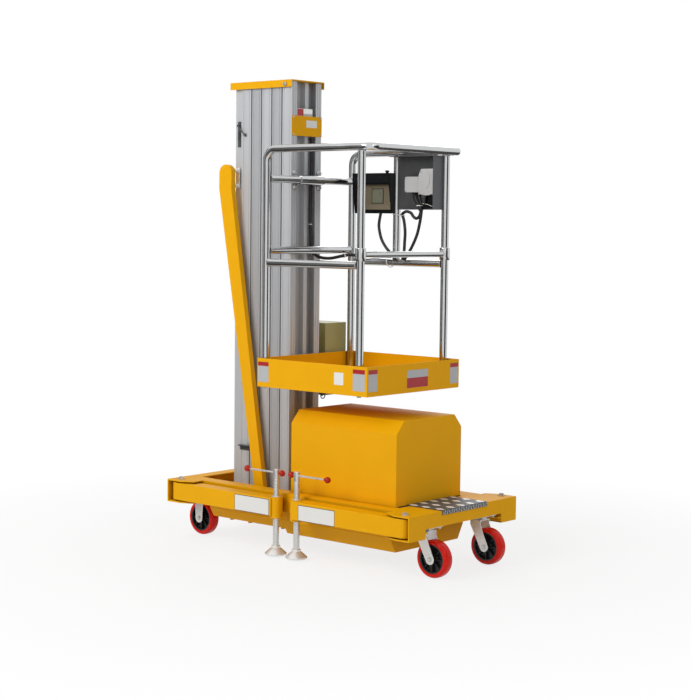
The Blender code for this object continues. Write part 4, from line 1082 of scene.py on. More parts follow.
@dataclass
class Mast:
    """Five nested extrusions, the folded cap and the blank board.

    front and back are the whole mast's faces, pitch lies between the fronts of two sections, half is half a
    section's width and slot half of its front slot's. The moving sections start at lifted_low.
    """

    front: float = -0.198
    pitch: float = 0.060
    half: float = 0.0945
    wall: float = 0.006
    slot: float = 0.060
    low: float = 0.1983
    high: float = 1.985
    back: float = -0.5355
    lifted_low: float = 0.204
    cap_gap: float = 0.007
    bodies: tuple[str, ...] = ("chassis", "mast_2", "mast_3", "mast_4", "platform")

    @staticmethod
    def groove(middle: float, surface: float) -> list[Pair]:
        """Gives a shallow drawn line in a face, as (place along the face, depth)."""
        low, high, deep = middle - 0.0011, middle + 0.0011, surface - 0.0014
        return [(low, surface), (low, deep), (high, deep), (high, surface)]

    def section(self, index: int) -> list[Pair]:
        """Gives the plan of one extrusion, with its shallow drawn grooves.

        Args:
            index: 1 for the rearmost, which is fixed, to 5 for the foremost.

        Returns:
            The outline.
        """
        last = len(self.bodies)
        front = self.front - (last - index) * self.pitch
        rear = front - self.pitch + 0.006
        half, wall, slot = self.half, self.wall, self.slot
        channel = [(rear, half - 0.001), (rear + 0.001, half)]
        channel += self.groove(rear + 0.010, half) + self.groove(front - 0.009, half)
        channel += [(front - 0.001, half), (front, half - 0.001)]
        for y in (half - 0.012, slot + 0.009):
            channel += [(x, place) for place, x in reversed(self.groove(y, front))]
        channel += [(front, slot + 0.001), (front - 0.001, slot), (front - wall, slot)]
        channel += [(front - wall, half - wall), (rear + wall, half - wall)]
        if index == 1:
            return mirrored([(self.back, 0.087), (self.back + 0.001, 0.088), (rear, 0.088)] + channel)
        head = rear - 0.0126
        plan = [(head - 0.008, 0.076), (head, 0.076), (head, 0.0594), (rear, 0.0594)] + channel
        if index < last:
            return mirrored(plan)
        floor = rear + wall
        rib = [(floor, 0.033), (front - 0.020, 0.033), (front - 0.020, 0.011), (floor, 0.011)]
        return plan + rib + mirrored(plan)[len(plan) :]

    def build(self) -> None:
        """Makes the extrusions and all that is fixed to them."""
        for index, body in enumerate(self.bodies, 1):
            low = self.low if index == 1 else self.lifted_low
            high = self.high - (LAP if index == len(self.bodies) else self.cap_gap)
            shape = Shape().prism(self.section(index), Axis.Z, low, high)
            metal = ALUMINIUM if index % 2 else ALUMINIUM_DULL
            solids = [f"mast_section_{index}"]
            shape.fit(f"mast_extrusion_{index}", metal, body, "mast_aluminium", solids, 0.0004, 1)
        folded("mast_cap", "mast_cap_folded", YELLOW, "platform", "yellow_paint", 0.0012)
        folded("name_board", "board_on_mast", YELLOW, "platform", "yellow_paint", 0.0006)
        self.hardware()

    def hardware(self) -> None:
        """Makes the cap's bolts, the catch at the rear edge, the small bracket and the blank films."""
        caps = [((self.front - 0.028, side * 0.1085, 1.972), Facing.out(side)) for _, side in SIDES]
        bolts("cap_bolts", caps, "platform", 0.007, 0.005, 0.009)
        corners = product((-0.088, 0.088), (1.762, 1.833))
        screws = [((self.front + 0.0026, y, z), Facing.FORWARD) for y, z in corners]
        bolts("board_screws", screws, "platform", 0.003, 0.003, 0.0035)
        x, y = self.back + 0.024, -0.088
        catch = Shape().box((x - 0.007, y - 0.005, 1.712), (x + 0.007, y, 1.822))
        catch.rod((x, y - 0.004, 1.804), (x, y - 0.014, 1.804), 0.0055)
        bend = ((0.020, 1.784), (0.038, 1.763), (0.045, 1.759), (0.047, 1.766), (0.041, 1.770))
        handle = [(x, y - 0.012, 1.804)] + [(x + along, y - 0.013, z) for along, z in bend]
        catch.tube(flowing(handle), 0.0026, 12)
        catch.box((x - 0.005, y - 0.008, 1.742), (x + 0.005, y - 0.0048, 1.776))
        catch.fit("mast_catch", SHEET_GREY, "chassis", bevel=0.0006)
        lug = Shape().box((-0.489, -0.112, 0.404), (-0.426, -0.0945, 0.409))
        lug.box((-0.489, -0.0985, 0.386), (-0.426, -0.0945, 0.404))
        lug.fit("mast_side_bracket", SHEET_GREY, "chassis", bevel=0.0006)
        films = (
            ((-0.057, -0.020), (1.8405, 1.870), self.front, Film.RED),
            ((-0.0198, 0.036), (1.8405, 1.850), self.front, Film.GREY),
            ((-0.004, 0.063), (1.792, 1.823), -0.1957, Film.WHITE),
        )
        labels = [Label(across, z, face, (Axis.X, 1), ((film, 0, 1),)) for across, z, face, film in films]
        stick(labels, "mast_labels", "platform")
        back = Shape().box((-0.1992, -0.058, 1.800), (self.front - LAP / 2, 0.037, 1.8712))
        back.fit("tag_back_plate", ZINC, "platform")


@dataclass
class Struts:
    """Two cranked struts behind the mast; foot and head are each a middle and a half width along x."""

    inner: float = 0.117
    outer: float = 0.143
    foot: Pair = (-0.322, 0.0275)
    head: Pair = (-0.545, 0.038)
    bend_z: float = 1.530
    head_z: float = 1.598
    bolt_x: float = -0.513
    bolt_rows: Pair = (1.610, 1.545)
    seam_z: float = 0.1992

    def build(self) -> None:
        """Makes the struts, their stand-off bolts and the weld seams at their feet and the mast's."""
        (foot_x, foot), (head_x, head), low = self.foot, self.head, Mast.low
        outline = [(foot_x - foot, low), (foot_x + foot, low), (head_x + head, self.bend_z)]
        outline += arc((head_x, self.head_z), head, 0, 180, 16) + [(head_x - head, self.bend_z)]
        heads = []
        for name, side in SIDES:
            inner, outer = side * self.inner, side * self.outer
            shape = Shape().prism(outline, Axis.Y, inner, outer)
            shape.fit(f"strut_{name}_folded", YELLOW, "chassis", "yellow_paint", [f"strut_{name}"], 0.0025)
            rods = Shape()
            for z in self.bolt_rows:
                rods.rod((self.bolt_x, side * 0.0881, z), (self.bolt_x, inner, z), 0.009)
                heads.append(((self.bolt_x, side * 0.0955, z), Facing.out(side)))
            near, far = sorted((side * Mast.half, side * (Mast.half + 0.004)))
            rods.box((-0.524, near + LAP, 1.532), (-0.502, far, 1.623))
            rods.fit(f"strut_spacers_{name}", ZINC, "chassis", bevel=0.0006)
        bolts("strut_bolts", heads, "chassis", 0.008, 0.0065, 0.0115)
        plan = [(-0.350, self.inner), (-0.350, self.outer), (-0.294, self.outer), (-0.294, self.inner)]
        seams = [[(x, side * y, self.seam_z) for x, y in plan] for _, side in SIDES]
        for y, ends in ((0.0885, (Mast.back, -0.492)), (0.095, (-0.492, -0.440))):
            seams += [[(x, side * y, self.seam_z) for x in ends] for _, side in SIDES]
        BEADS.grow("strut_welds", lines(seams), YELLOW, "chassis", Bead_radius=0.003, Spacing=0.0027)


@dataclass
class Cabinet:
    """Sheet steel cabinet on the left strut."""

    rear: float = -0.440
    front: float = -0.206
    inner: float = 0.1434
    outer: float = 0.2833
    low: float = 0.630
    high: float = 0.948

    def build(self) -> None:
        """Makes the case with its door, hinges and latch."""
        rear, front, outer, low, high = self.rear, self.front, self.outer, self.low, self.high
        shape = Shape().box((rear, self.inner, low), (front, outer - 0.0025, high))
        shape.box((rear + 0.004, outer - 0.002, low + 0.004), (front - 0.004, outer, high - 0.004))
        shape.fit("cabinet_case", CABINET_PAINT, "chassis", "cabinet_paint", ["cabinet"], 0.0035, 3)
        parts = Shape()
        x, y = rear + 0.003, outer + 0.001
        for z in (low + 0.05, high - 0.05):
            parts.rod((x, y, z - 0.018), (x, y, z + 0.018), 0.004, 16)
        parts.rod((front - 0.025, outer - 0.001, 0.79), (front - 0.025, outer + 0.005, 0.79), 0.010)
        parts.box((front - 0.027, outer + 0.004, 0.782), (front - 0.023, outer + 0.008, 0.798))
        parts.fit("cabinet_fittings", SCREW_STEEL, "chassis", bevel=0.0007)


@dataclass
class Outrigger:
    """One swing-out arm with its screw jack.

    half is half the arm's width, screw the thread's core radius, and the bar reaches further on one side.
    """

    end_name: str
    end: int
    side_name: str
    side: int
    pin: Pair = PIVOT
    jack_x: float = 0.058
    half: float = 0.035
    low: float = 0.1745
    high: float = 0.2505
    screw: float = 0.0116
    bar_z: float = 0.353
    bar_long: float = 0.168
    bar_short: float = 0.032
    bar: float = 0.0042
    knob: float = 0.0135
    neck: float = 0.0068
    neck_reach: float = 0.01625
    bore: float = 0.0132

    def build(self) -> None:
        """Makes the arm, its label and the jack."""
        label = f"{self.end_name}_{self.side_name}"
        end, y, half = self.end, self.side * self.pin[1], self.end * self.half
        pin_x, jack_x = end * self.pin[0], end * self.jack_x
        arm = f"outrigger_{label}"
        first = 90 if end > 0 else 270
        outline = [(jack_x, y - half), (pin_x, y - half)]
        outline += arc((pin_x, y), self.half, first - 160, first - 20, 14)
        outline += [(pin_x, y + half), (jack_x, y + half)]
        body = Shape().prism(outline, Axis.Z, self.low, self.high)
        body.fit(f"arm_{label}_folded", YELLOW, arm, "yellow_paint", [f"outrigger_arm_{label}"], 0.003)
        bore, seat = self.bore, self.high + 0.002
        boss = [(bore, self.low - 0.010), (0.027, self.low - 0.010), (0.027, seat), (bore, seat)]
        made = Shape().turned(boss, (jack_x, y, 0.0))
        made.fit(f"arm_{label}_boss", YELLOW, arm, "yellow_paint", bevel=0.002)
        nut = [(bore, seat), (0.019, seat), (0.019, self.high + 0.006), (bore, self.high + 0.006)]
        Shape().turned(nut, (jack_x, y, 0.0)).fit(f"arm_{label}_nut", ZINC, arm, bevel=0.0008)
        reach, top = ((0.066, 0.266), 0.2445) if end < 0 else ((0.098, 0.296), 0.241)
        across = tuple(sorted(end * x for x in reach))
        layers = ((Film.DARK, 0.0, 1.0), (Film.WHITE, 0.0, 1.0))
        plate = Label(across, (0.176, top), y + self.side * self.half, (Axis.Y, self.side), layers, 0.0022)
        stick([plate], f"arm_{label}_plate", arm)
        self.jack(label, jack_x, y)

    def jack(self, label: str, x: float, y: float) -> None:
        """Makes the screw with its thread, the foot, the bar and the two knobs.

        Args:
            label: the corner's name.
            x: the jack's middle along the machine.
            y: the jack's middle across it.
        """
        body, wide = f"jack_{label}", 0.0129
        core = [(0.0, 0.040), (wide, 0.040), (wide, 0.178), (self.screw, 0.1795), (self.screw, 0.366)]
        core += [(self.screw - 0.002, 0.3695), (0.0, 0.370)]
        shape = Shape().turned(core, (x, y, 0.0))
        shape.turned([(0.0115, 0.330), (0.0134, 0.331), (0.0134, 0.3665), (0.0115, 0.3675)], (x, y, 0.0))
        ends = (x + self.end * self.bar_long, x - self.end * self.bar_short)
        shape.rod((ends[0], y, self.bar_z), (ends[1], y, self.bar_z), self.bar, 16)
        shape.fit(f"jack_{label}_screw", SCREW_STEEL, body, "zinc", [f"jack_{label}"], 0.0006)
        foot = [(0.0, 0.010), (0.044, 0.010), (0.046, 0.0115), (0.046, 0.0165), (0.044, 0.0185)]
        foot += [(0.024, 0.036), (0.0185, 0.040), (0.0185, 0.047), (0.0165, 0.049), (0.0, 0.049)]
        Shape().turned(foot, (x, y, 0.0)).fit(f"jack_{label}_foot", ZINC, body, "zinc")
        sizes = {"Radius": self.screw, "Ridge": 0.0006, "Turns": 60.0, "Length": 0.146}
        start = spots([((x, y, 0.181), Facing.UP)])
        THREADS.grow(f"jack_{label}_thread", start, SCREW_STEEL, body, "zinc", **sizes)
        knobs = Shape()
        for spot in ends:
            knobs.ball((spot, y, self.bar_z), self.knob)
            inner = spot + (self.neck_reach if spot < x else -self.neck_reach)
            knobs.rod((spot, y, self.bar_z), (inner, y, self.bar_z), self.neck, 16)
        knobs.fit(f"jack_{label}_knobs", KNOB_RED, body, bevel=0.0004)


@dataclass
class Caster:
    """One caster: fork, raceway, axle and wheel; half_width is the wheel's, leg_half a fork leg's."""

    end_name: str
    end: int
    side_name: str
    side: int
    axle_z: float = 0.076
    half_width: float = 0.023
    leg_half: float = 0.0257
    webs: int = 8

    def build(self) -> None:
        """Makes the fork and the wheel."""
        label = f"{self.end_name}_{self.side_name}"
        y, front, head_x = self.side * CASTER_Y, self.end > 0, CASTER_X[self.end]
        axle_x, top = (0.669, 0.197) if front else (head_x, 0.1967)
        body = f"caster_{self.side_name}" if front else "chassis"
        inner = self.half_width + 0.006
        outer, half = inner + 0.004, self.leg_half
        fork = Shape().box((head_x - 0.026, y - outer + LAP, 0.178), (head_x + 0.026, y + outer - LAP, 0.184))
        leg = [(head_x - half, 0.1837), (head_x - half, 0.163)]
        leg += arc((axle_x, self.axle_z), 0.0205, 200 if front else 190, 375 if front else 350, 16)
        leg += [(head_x + half, 0.163), (head_x + half, 0.1837)]
        for low, high in ((-outer, -inner), (inner, outer)):
            fork.prism(leg, Axis.Y, y + low, y + high)
        fork.fit(f"fork_{label}_pressed", ZINC, body, "zinc", [f"caster_fork_{label}"], 0.0014)
        race = [(0.0, 0.1835), (0.026, 0.1835), (0.0295, 0.1855), (0.0305, 0.1885), (0.028, 0.1905)]
        race += [(0.030, 0.1925), (0.0285, top - LAP), (0.0, top - LAP)]
        Shape().turned(race, (head_x, y, 0.0)).fit(f"fork_{label}_raceway", SCREW_STEEL, body, "zinc")
        reach = outer + 0.002
        axle = Shape().rod((axle_x, y - reach, self.axle_z), (axle_x, y + reach, self.axle_z), 0.006)
        axle.rod((head_x, y, 0.170), (head_x, y, 0.179), 0.010, 6)
        axle.fit(f"fork_{label}_axle", SCREW_STEEL, body, "zinc", bevel=0.0006)
        ends = [((axle_x, y + s * (outer + 0.0012), self.axle_z), Facing.out(s)) for s in (-1, 1)]
        bolts(f"fork_{label}_nuts", ends, body, 0.0078, 0.0035, 0.0105, "zinc")
        self.wheel(label, (axle_x, y, self.axle_z))

    def wheel(self, label: str, centre: Point) -> None:
        """Makes the cast tread and the ribbed hub.

        Args:
            label: the corner's name.
            centre: the wheel's middle.
        """
        body = f"wheel_{label}"
        rows = ((0.0585, 0.0008), (0.0615, 0.0), (0.067, 0.0), (0.0695, 0.0012), (0.0729, 0.0042))
        rows += ((0.0750, 0.0088), (0.0759, 0.014), (0.0760, 0.019))
        half = [(radius, self.half_width - back) for radius, back in rows]
        made = Shape().turned(half + [(r, -h) for r, h in reversed(half)], centre, Axis.Y, 72)
        made.fit(f"tread_{label}_cast", TYRE_RED, body, "red_tread", [f"wheel_tread_{label}"])
        half = [(0.0063, 0.0265), (0.0150, 0.0265), (0.0165, 0.0250), (0.0170, 0.0060), (0.0190, 0.0045)]
        half += [(0.0490, 0.0045), (0.0510, 0.0060), (0.0518, 0.0195), (0.0532, 0.0212), (0.0582, 0.0212)]
        hub = Shape().turned(half + [(r, -h) for r, h in reversed(half)], centre, Axis.Y, 64)
        hub.fit(f"hub_{label}_moulded", HUB_BLACK, body, "hub_black", [f"wheel_hub_{label}"])
        places = [(centre, (0.0, tau * step / self.webs, 0.0)) for step in range(self.webs)]
        sizes = {"Inner": 0.0155, "Outer": 0.053, "Depth": 0.034}
        RIBS.grow(f"hub_{label}_webs", spots(places), HUB_BLACK, body, "hub_black", **sizes)
        caps = Shape()
        for side in (-1, 1):
            cap = ((0.0068, 0.0264), (0.0125, 0.0264), (0.0125, 0.0276), (0.0068, 0.0276))
            caps.turned([(radius, side * height) for radius, height in cap], centre, Axis.Y, 32)
        caps.fit(f"hub_{label}_bearings", SCREW_STEEL, body, bevel=0.0003)


@dataclass
class Platform:
    """Floor pan with toe boards and its labels."""

    rear: float = -0.191
    front: float = 0.4125
    half: float = 0.299
    floor: float = 0.739
    margin: float = 0.022
    rows: int = 16
    post_clear: float = 0.028

    def build(self) -> None:
        """Makes the pan, its tread pattern, labels and the fixings below."""
        folded("tray", "tray_folded", YELLOW, "platform", "yellow_paint", 0.0013)
        folded("tray_mount", "tray_mount_block", ZINC, "platform", "zinc", 0.0015)
        places = []
        for row, column in product(range(self.rows), repeat=2):
            x = self.rear + self.margin + row * (self.front - self.rear - 2 * self.margin) / (self.rows - 1)
            y = -self.half + self.margin + column * (2 * self.half - 2 * self.margin) / (self.rows - 1)
            if all((x - a) ** 2 + (y - b) ** 2 > self.post_clear**2 for a, b in POSTS):
                places.append(((x, y, self.floor), (0.0, 0.0, radians(45 if (row + column) % 2 else -45))))
        dress = (YELLOW, "platform", "yellow_paint")
        LOZENGES.grow("tray_floor_lozenges", spots(places), *dress, Length=0.026, Width=0.0095, Height=0.002)
        self.labels()
        studs = Shape()
        for x, y in POSTS:
            studs.rod((x, y, 0.735), (x, y, 0.694), 0.0055, 16)
        nuts = [((x, y, z), Facing.DOWN) for (x, y), z in product(POSTS, (0.7325, 0.7035))]
        studs.fit("post_studs", SCREW_STEEL, "platform")
        bolts("post_nuts", nuts, "platform", 0.010, 0.008, 0.013)
        loops = [(-0.120, -0.006, 0.735), (-0.108, -0.006, 0.705)]
        for part in (step / 48 for step in range(2, 49)):
            turn = tau * 2 * part
            x, z = -0.090 + 0.013 * sin(turn), 0.670 + 0.0145 * cos(turn)
            loops.append((x, -0.006 + 0.010 * part, z - 0.026 * part))
        Shape().tube(flowing(loops, 2), 0.0022, 10).fit("cable_loops_below_tray", CABLE, "platform")

    def labels(self) -> None:
        """Makes the blank labels on the near toe board and the front."""
        caution = ((Film.GREY, 0.0, 1.0), (Film.RED, 0.80, 1.0))
        side, front = (-self.half, (Axis.Y, -1)), (self.front, (Axis.X, 1))
        boards = [
            Label((-0.186, -0.126), (0.722, 0.806), *side, caution),
            Label((0.338, 0.400), (0.722, 0.808), *side, caution),
            Label((0.238, 0.288), (0.740, 0.790), *side, ((Film.WHITE, 0.0, 1.0),)),
            Label((-0.291, -0.236), (0.721, 0.808), *front, caution),
            Label((0.238, 0.292), (0.721, 0.806), *front, caution),
            Label((-0.048, 0.088), (0.721, 0.793), *front, ((Film.GREY, 0.0, 1.0), (Film.RED, 0.0, 0.56))),
        ]
        stick(boards, "tray_labels", "platform")


@dataclass
class Cage:
    """Guard rails of bent stainless tube, the bracket on the mast and the sliding gate bar."""

    tube: float = 0.016
    rear_x: float = -0.170
    post_x: float = 0.348
    bar_x: float = 0.397
    y: float = 0.272
    rail: float = 1.690
    floor: float = 0.7393
    side_rail: float = 1.220
    rear_rails: Pair = (1.568, 1.270)
    middle_x: float = 0.085
    splice_x: float = 0.1

    def build(self) -> None:
        """Makes the hoops, posts, rails, welds, bracket and gate."""
        rear, post, bar, far, rail = self.rear_x, self.post_x, self.bar_x, self.y, self.rail
        butt = self.tube + LAP
        right = bent_path([(rear, -far, self.floor), (rear, -far, rail), (self.splice_x, -far, rail)], 0.050)
        corner = bent_path([(self.splice_x, -far, rail), (bar, -far, rail), (bar, 0.2835, rail)], 0.042)
        left = bent_path([(rear, far, self.floor), (rear, far, rail), (bar - butt, far, rail)], 0.050)
        pieces = {"cage_hoop_right": right[:-1] + corner[1:] + [(bar, 0.2855, rail)], "cage_hoop_left": left}
        joints = []
        for name, side in SIDES:
            y = side * far
            pieces[f"cage_post_front_{name}"] = [(post, y, self.floor), (post, y, rail - butt)]
            ends = [(rear + butt, y, self.side_rail), (post - butt, y, self.side_rail)]
            pieces[f"cage_rail_{name}"] = ends
            feet = [(rear, y, self.floor + 0.001), (post, y, self.floor + 0.001)]
            joints.append(((post, y, rail - butt), Axis.Z))
            joints += [(spot, Axis.X) for spot in ends] + [(spot, Axis.Z) for spot in feet]
        for name, z in zip(("high", "low"), self.rear_rails):
            pieces[f"cage_rail_rear_{name}"] = ends = [(rear, -far + butt, z), (rear, far - butt, z)]
            joints += [(spot, Axis.Y) for spot in ends]
        ends = [(self.middle_x, far, z) for z in (self.side_rail + butt, rail - butt)]
        pieces["cage_post_middle"] = ends
        joints += [(spot, Axis.Z) for spot in ends] + [((bar - butt, far, rail), Axis.X)]
        for name, path in pieces.items():
            made = Shape().tube(path, self.tube, 28)
            made.fit(f"{name}_tube", STAINLESS, "platform", "stainless", [name], 0.0012)
        seams = lines(ring(spot, self.tube, axis) for spot, axis in joints)
        sizes = {"Bead_radius": 0.0019, "Spacing": 0.0024}
        BEADS.grow("cage_welds", seams, STAINLESS, "platform", "stainless", **sizes)
        self.bracket()
        self.gate()

    def bracket(self) -> None:
        """Makes the sleeve on the upper rear rail and its bolted lugs."""
        z = self.rear_rails[0]
        sleeve = [(0.0163, -0.075), (0.020, -0.075), (0.020, 0.075), (0.0163, 0.075)]
        shape = Shape().turned(sleeve, (self.rear_x, 0.0, z), Axis.Y, 40)
        heads = []
        for y in (-0.0765, 0.0765):
            outline = arc((y, z + 0.030), 0.0135, 0, 180, 10) + arc((y, z - 0.030), 0.0135, 180, 360, 10)
            shape.prism(outline, Axis.X, -0.1977, -0.1917)
            near, far = (0.0635, 0.0745) if y > 0 else (-0.0635, -0.0745)
            shape.box((-0.192, near, z - 0.008), (self.rear_x - 0.017, far, z + 0.008))
            heads += [((-0.1912, y, z + dz), Facing.FORWARD) for dz in (-0.031, 0.031)]
        shape.fit("mast_bracket_welded", STAINLESS, "platform", "zinc", ["mast_bracket"], 0.001)
        bolts("bracket_bolts", heads, "platform", 0.0075, 0.006, 0.0105)

    def gate(self) -> None:
        """Makes the gate bar with its two collars."""
        low = self.side_rail + self.tube + LAP
        shape, high, z, inner = Shape(), low + 0.052, low + 0.026, self.y - 0.0195
        collar = [(0.0166, low), (0.0208, low), (0.0215, low + 0.0015), (0.0215, high - 0.0015)]
        collar += [(0.0208, high), (0.0166, high)]
        for _, side in SIDES:
            shape.turned(collar, (self.post_x, side * self.y, 0.0))
        shape.rod((self.post_x, -inner, z), (self.post_x, inner, z), 0.0125, 28)
        shape.fit("gate_bar_welded", STAINLESS, "gate", "stainless", ["gate_bar"], 0.0006)
        rings = [ring((self.post_x, s * (self.y - 0.0212), z), 0.0125, Axis.Y) for s in (-1, 1)]
        BEADS.grow("gate_welds", lines(rings), STAINLESS, "gate", "stainless", Bead_radius=0.0017)


@dataclass
class Controls:
    """Control box, sheet shroud and junction boxes on the left rail."""

    inside: float = 0.2557
    box_top: float = 1.603
    panel: tuple[float, float, float, float] = (-0.0866, 0.0766, 1.4464, 1.5546)
    panel_back: float = 0.2464

    def build(self) -> None:
        """Makes the boxes and what hangs below them."""
        self.box()
        self.shroud()
        self.plug()

    def box(self) -> None:
        """Makes the control box with its panel, display window, sill and button."""
        folded("control_box", "control_box_case", BOX_BLACK, "platform", "box_black", 0.0008)
        x0, x1, z0, z1 = self.panel
        y = self.panel_back
        plate = Shape().box((x0, y - 0.0030, z0), (x1, y, z1))
        sill = [(y, z0), (y - 0.0085, z0), (y - 0.0032, z0 + 0.020), (y, z0 + 0.020)]
        plate.prism(sill, Axis.X, x0, x1).fit("control_panel_plate", PANEL, "platform", bevel=0.0006)
        border = Shape().box((-0.034, y - 0.0040, 1.472), (0.034, y - 0.0031, 1.538))
        border.fit("control_panel_border", VINYL_DARK, "platform")
        window = Shape().box((-0.029, y - 0.0050, 1.476), (0.029, y - 0.0041, 1.534))
        window.fit("control_panel_window", SCREEN, "platform", bevel=0.0004)
        button = ((0.0, -0.001), (0.0065, -0.001), (0.0065, 0.005), (0.0095, 0.006), (0.0095, 0.009))
        button += ((0.007, 0.0115), (0.0, 0.012))
        knob = Shape().turned([(r, self.box_top + h) for r, h in button], (0.056, 0.238, 0.0))
        knob.fit("control_box_button", BOX_BLACK, "platform")
        corners = product((x0 + 0.006, x1 - 0.006), (z0 + 0.026, z1 - 0.006))
        screws = [((x, y - 0.0028, z), Facing.RIGHT) for x, z in corners]
        bolts("control_panel_screws", screws, "platform", 0.0018, 0.0016, 0.0026)

    def shroud(self) -> None:
        """Makes the sheet shroud and the two junction boxes with their lids."""
        folded("control_enclosure", "control_shroud", SHEET_GREY, "platform", "grey_sheet", 0.0006)
        back, base = self.inside - 0.0035, 1.5100
        small = rounded((0.181, 1.5195), (0.2625, 1.585), 0.008)
        large = [(0.263, base), (0.263, 1.592), (0.2660, 1.599), (0.2740, 1.6145), (0.2800, 1.617)]
        large += [(0.3415, 1.617), (0.3415, base), (0.3300, base), (0.3170, 1.5075), (0.3030, 1.5062)]
        large += [(0.2890, 1.5075), (0.2770, base)]
        shape = Shape()
        for outline, front in ((small, 0.2047), (large, 0.1947)):
            shape.prism(outline, Axis.Y, front, front + 0.0095)
            middle = Vector(outline[0]).lerp(Vector(outline[len(outline) // 2]), 0.5)
            body = [tuple(middle + (Vector(spot) - middle) * 0.975) for spot in outline]
            shape.prism(body, Axis.Y, front + 0.0100, back)
            shape.prism(body, Axis.Y, front + 0.0090, front + 0.0105)
        turns = [tau * step / 36 for step in range(36)]
        oval = [(0.302 + 0.0215 * cos(turn), 1.573 + 0.0365 * sin(turn)) for turn in turns]
        shape.prism(oval, Axis.Y, 0.1931, 0.1950)
        solids = ["junction_boxes"]
        shape.fit("junction_boxes_moulded", JUNCTION, "platform", "junction_grey", solids, 0.0024, 3)
        screws = [((x, 0.2045, z), Facing.RIGHT) for x, z in product((0.1875, 0.2560), (1.5262, 1.5785))]
        screws += [((x, 0.1945, z), Facing.RIGHT) for x, z in ((0.2700, 1.5165), (0.2735, 1.6050))]
        bolts("junction_screws", screws, "platform", 0.0022, 0.0016, 0.003)

    def plug(self) -> None:
        """Makes the ribbed conduits, the plug and the gland below the boxes."""
        first = [(0.219, 0.229, 1.521), (0.222, 0.229, 1.502), (0.233, 0.230, 1.478), (0.246, 0.232, 1.459)]
        first.append((0.250, 0.234, 1.444))
        second = [(0.241, 0.226, 1.521), (0.243, 0.226, 1.505), (0.250, 0.228, 1.485), (0.256, 0.231, 1.468)]
        runs = Shape().tube(flowing(first, 10), 0.0118, 20, 0.0009)
        runs.tube(flowing(second, 10), 0.0085, 16, 0.0008)
        nut = [(0.0, 1.522), (0.0150, 1.522), (0.0150, 1.512), (0.0125, 1.509), (0.0, 1.509)]
        runs.turned(nut, (0.221, 0.229, 0.0), sides=6)
        runs.fit("conduit_runs", CABLE, "platform")
        outline = [(0.326, 1.506), (0.258, 1.506), (0.261, 1.482), (0.279, 1.4515), (0.324, 1.4515)]
        block = Shape().prism(outline, Axis.Y, 0.212, 0.243)
        for z in (1.462, 1.470, 1.478):
            block.box((0.2815, 0.2105, z), (0.3235, 0.2125, z + 0.004))
        block.fit("plug_block", BOX_BLACK, "platform", bevel=0.0012)
        gland = [(0.0, 1.5075), (0.0120, 1.5075), (0.0120, 1.4965), (0.0095, 1.4945), (0.0085, 1.4800)]
        gland += [(0.0055, 1.4740), (0.0, 1.4735)]
        made = Shape().turned(gland, (0.286, 0.204, 0.0), sides=32)
        made.fit("cable_gland", UNIT_GREY, "platform", bevel=0.0006)


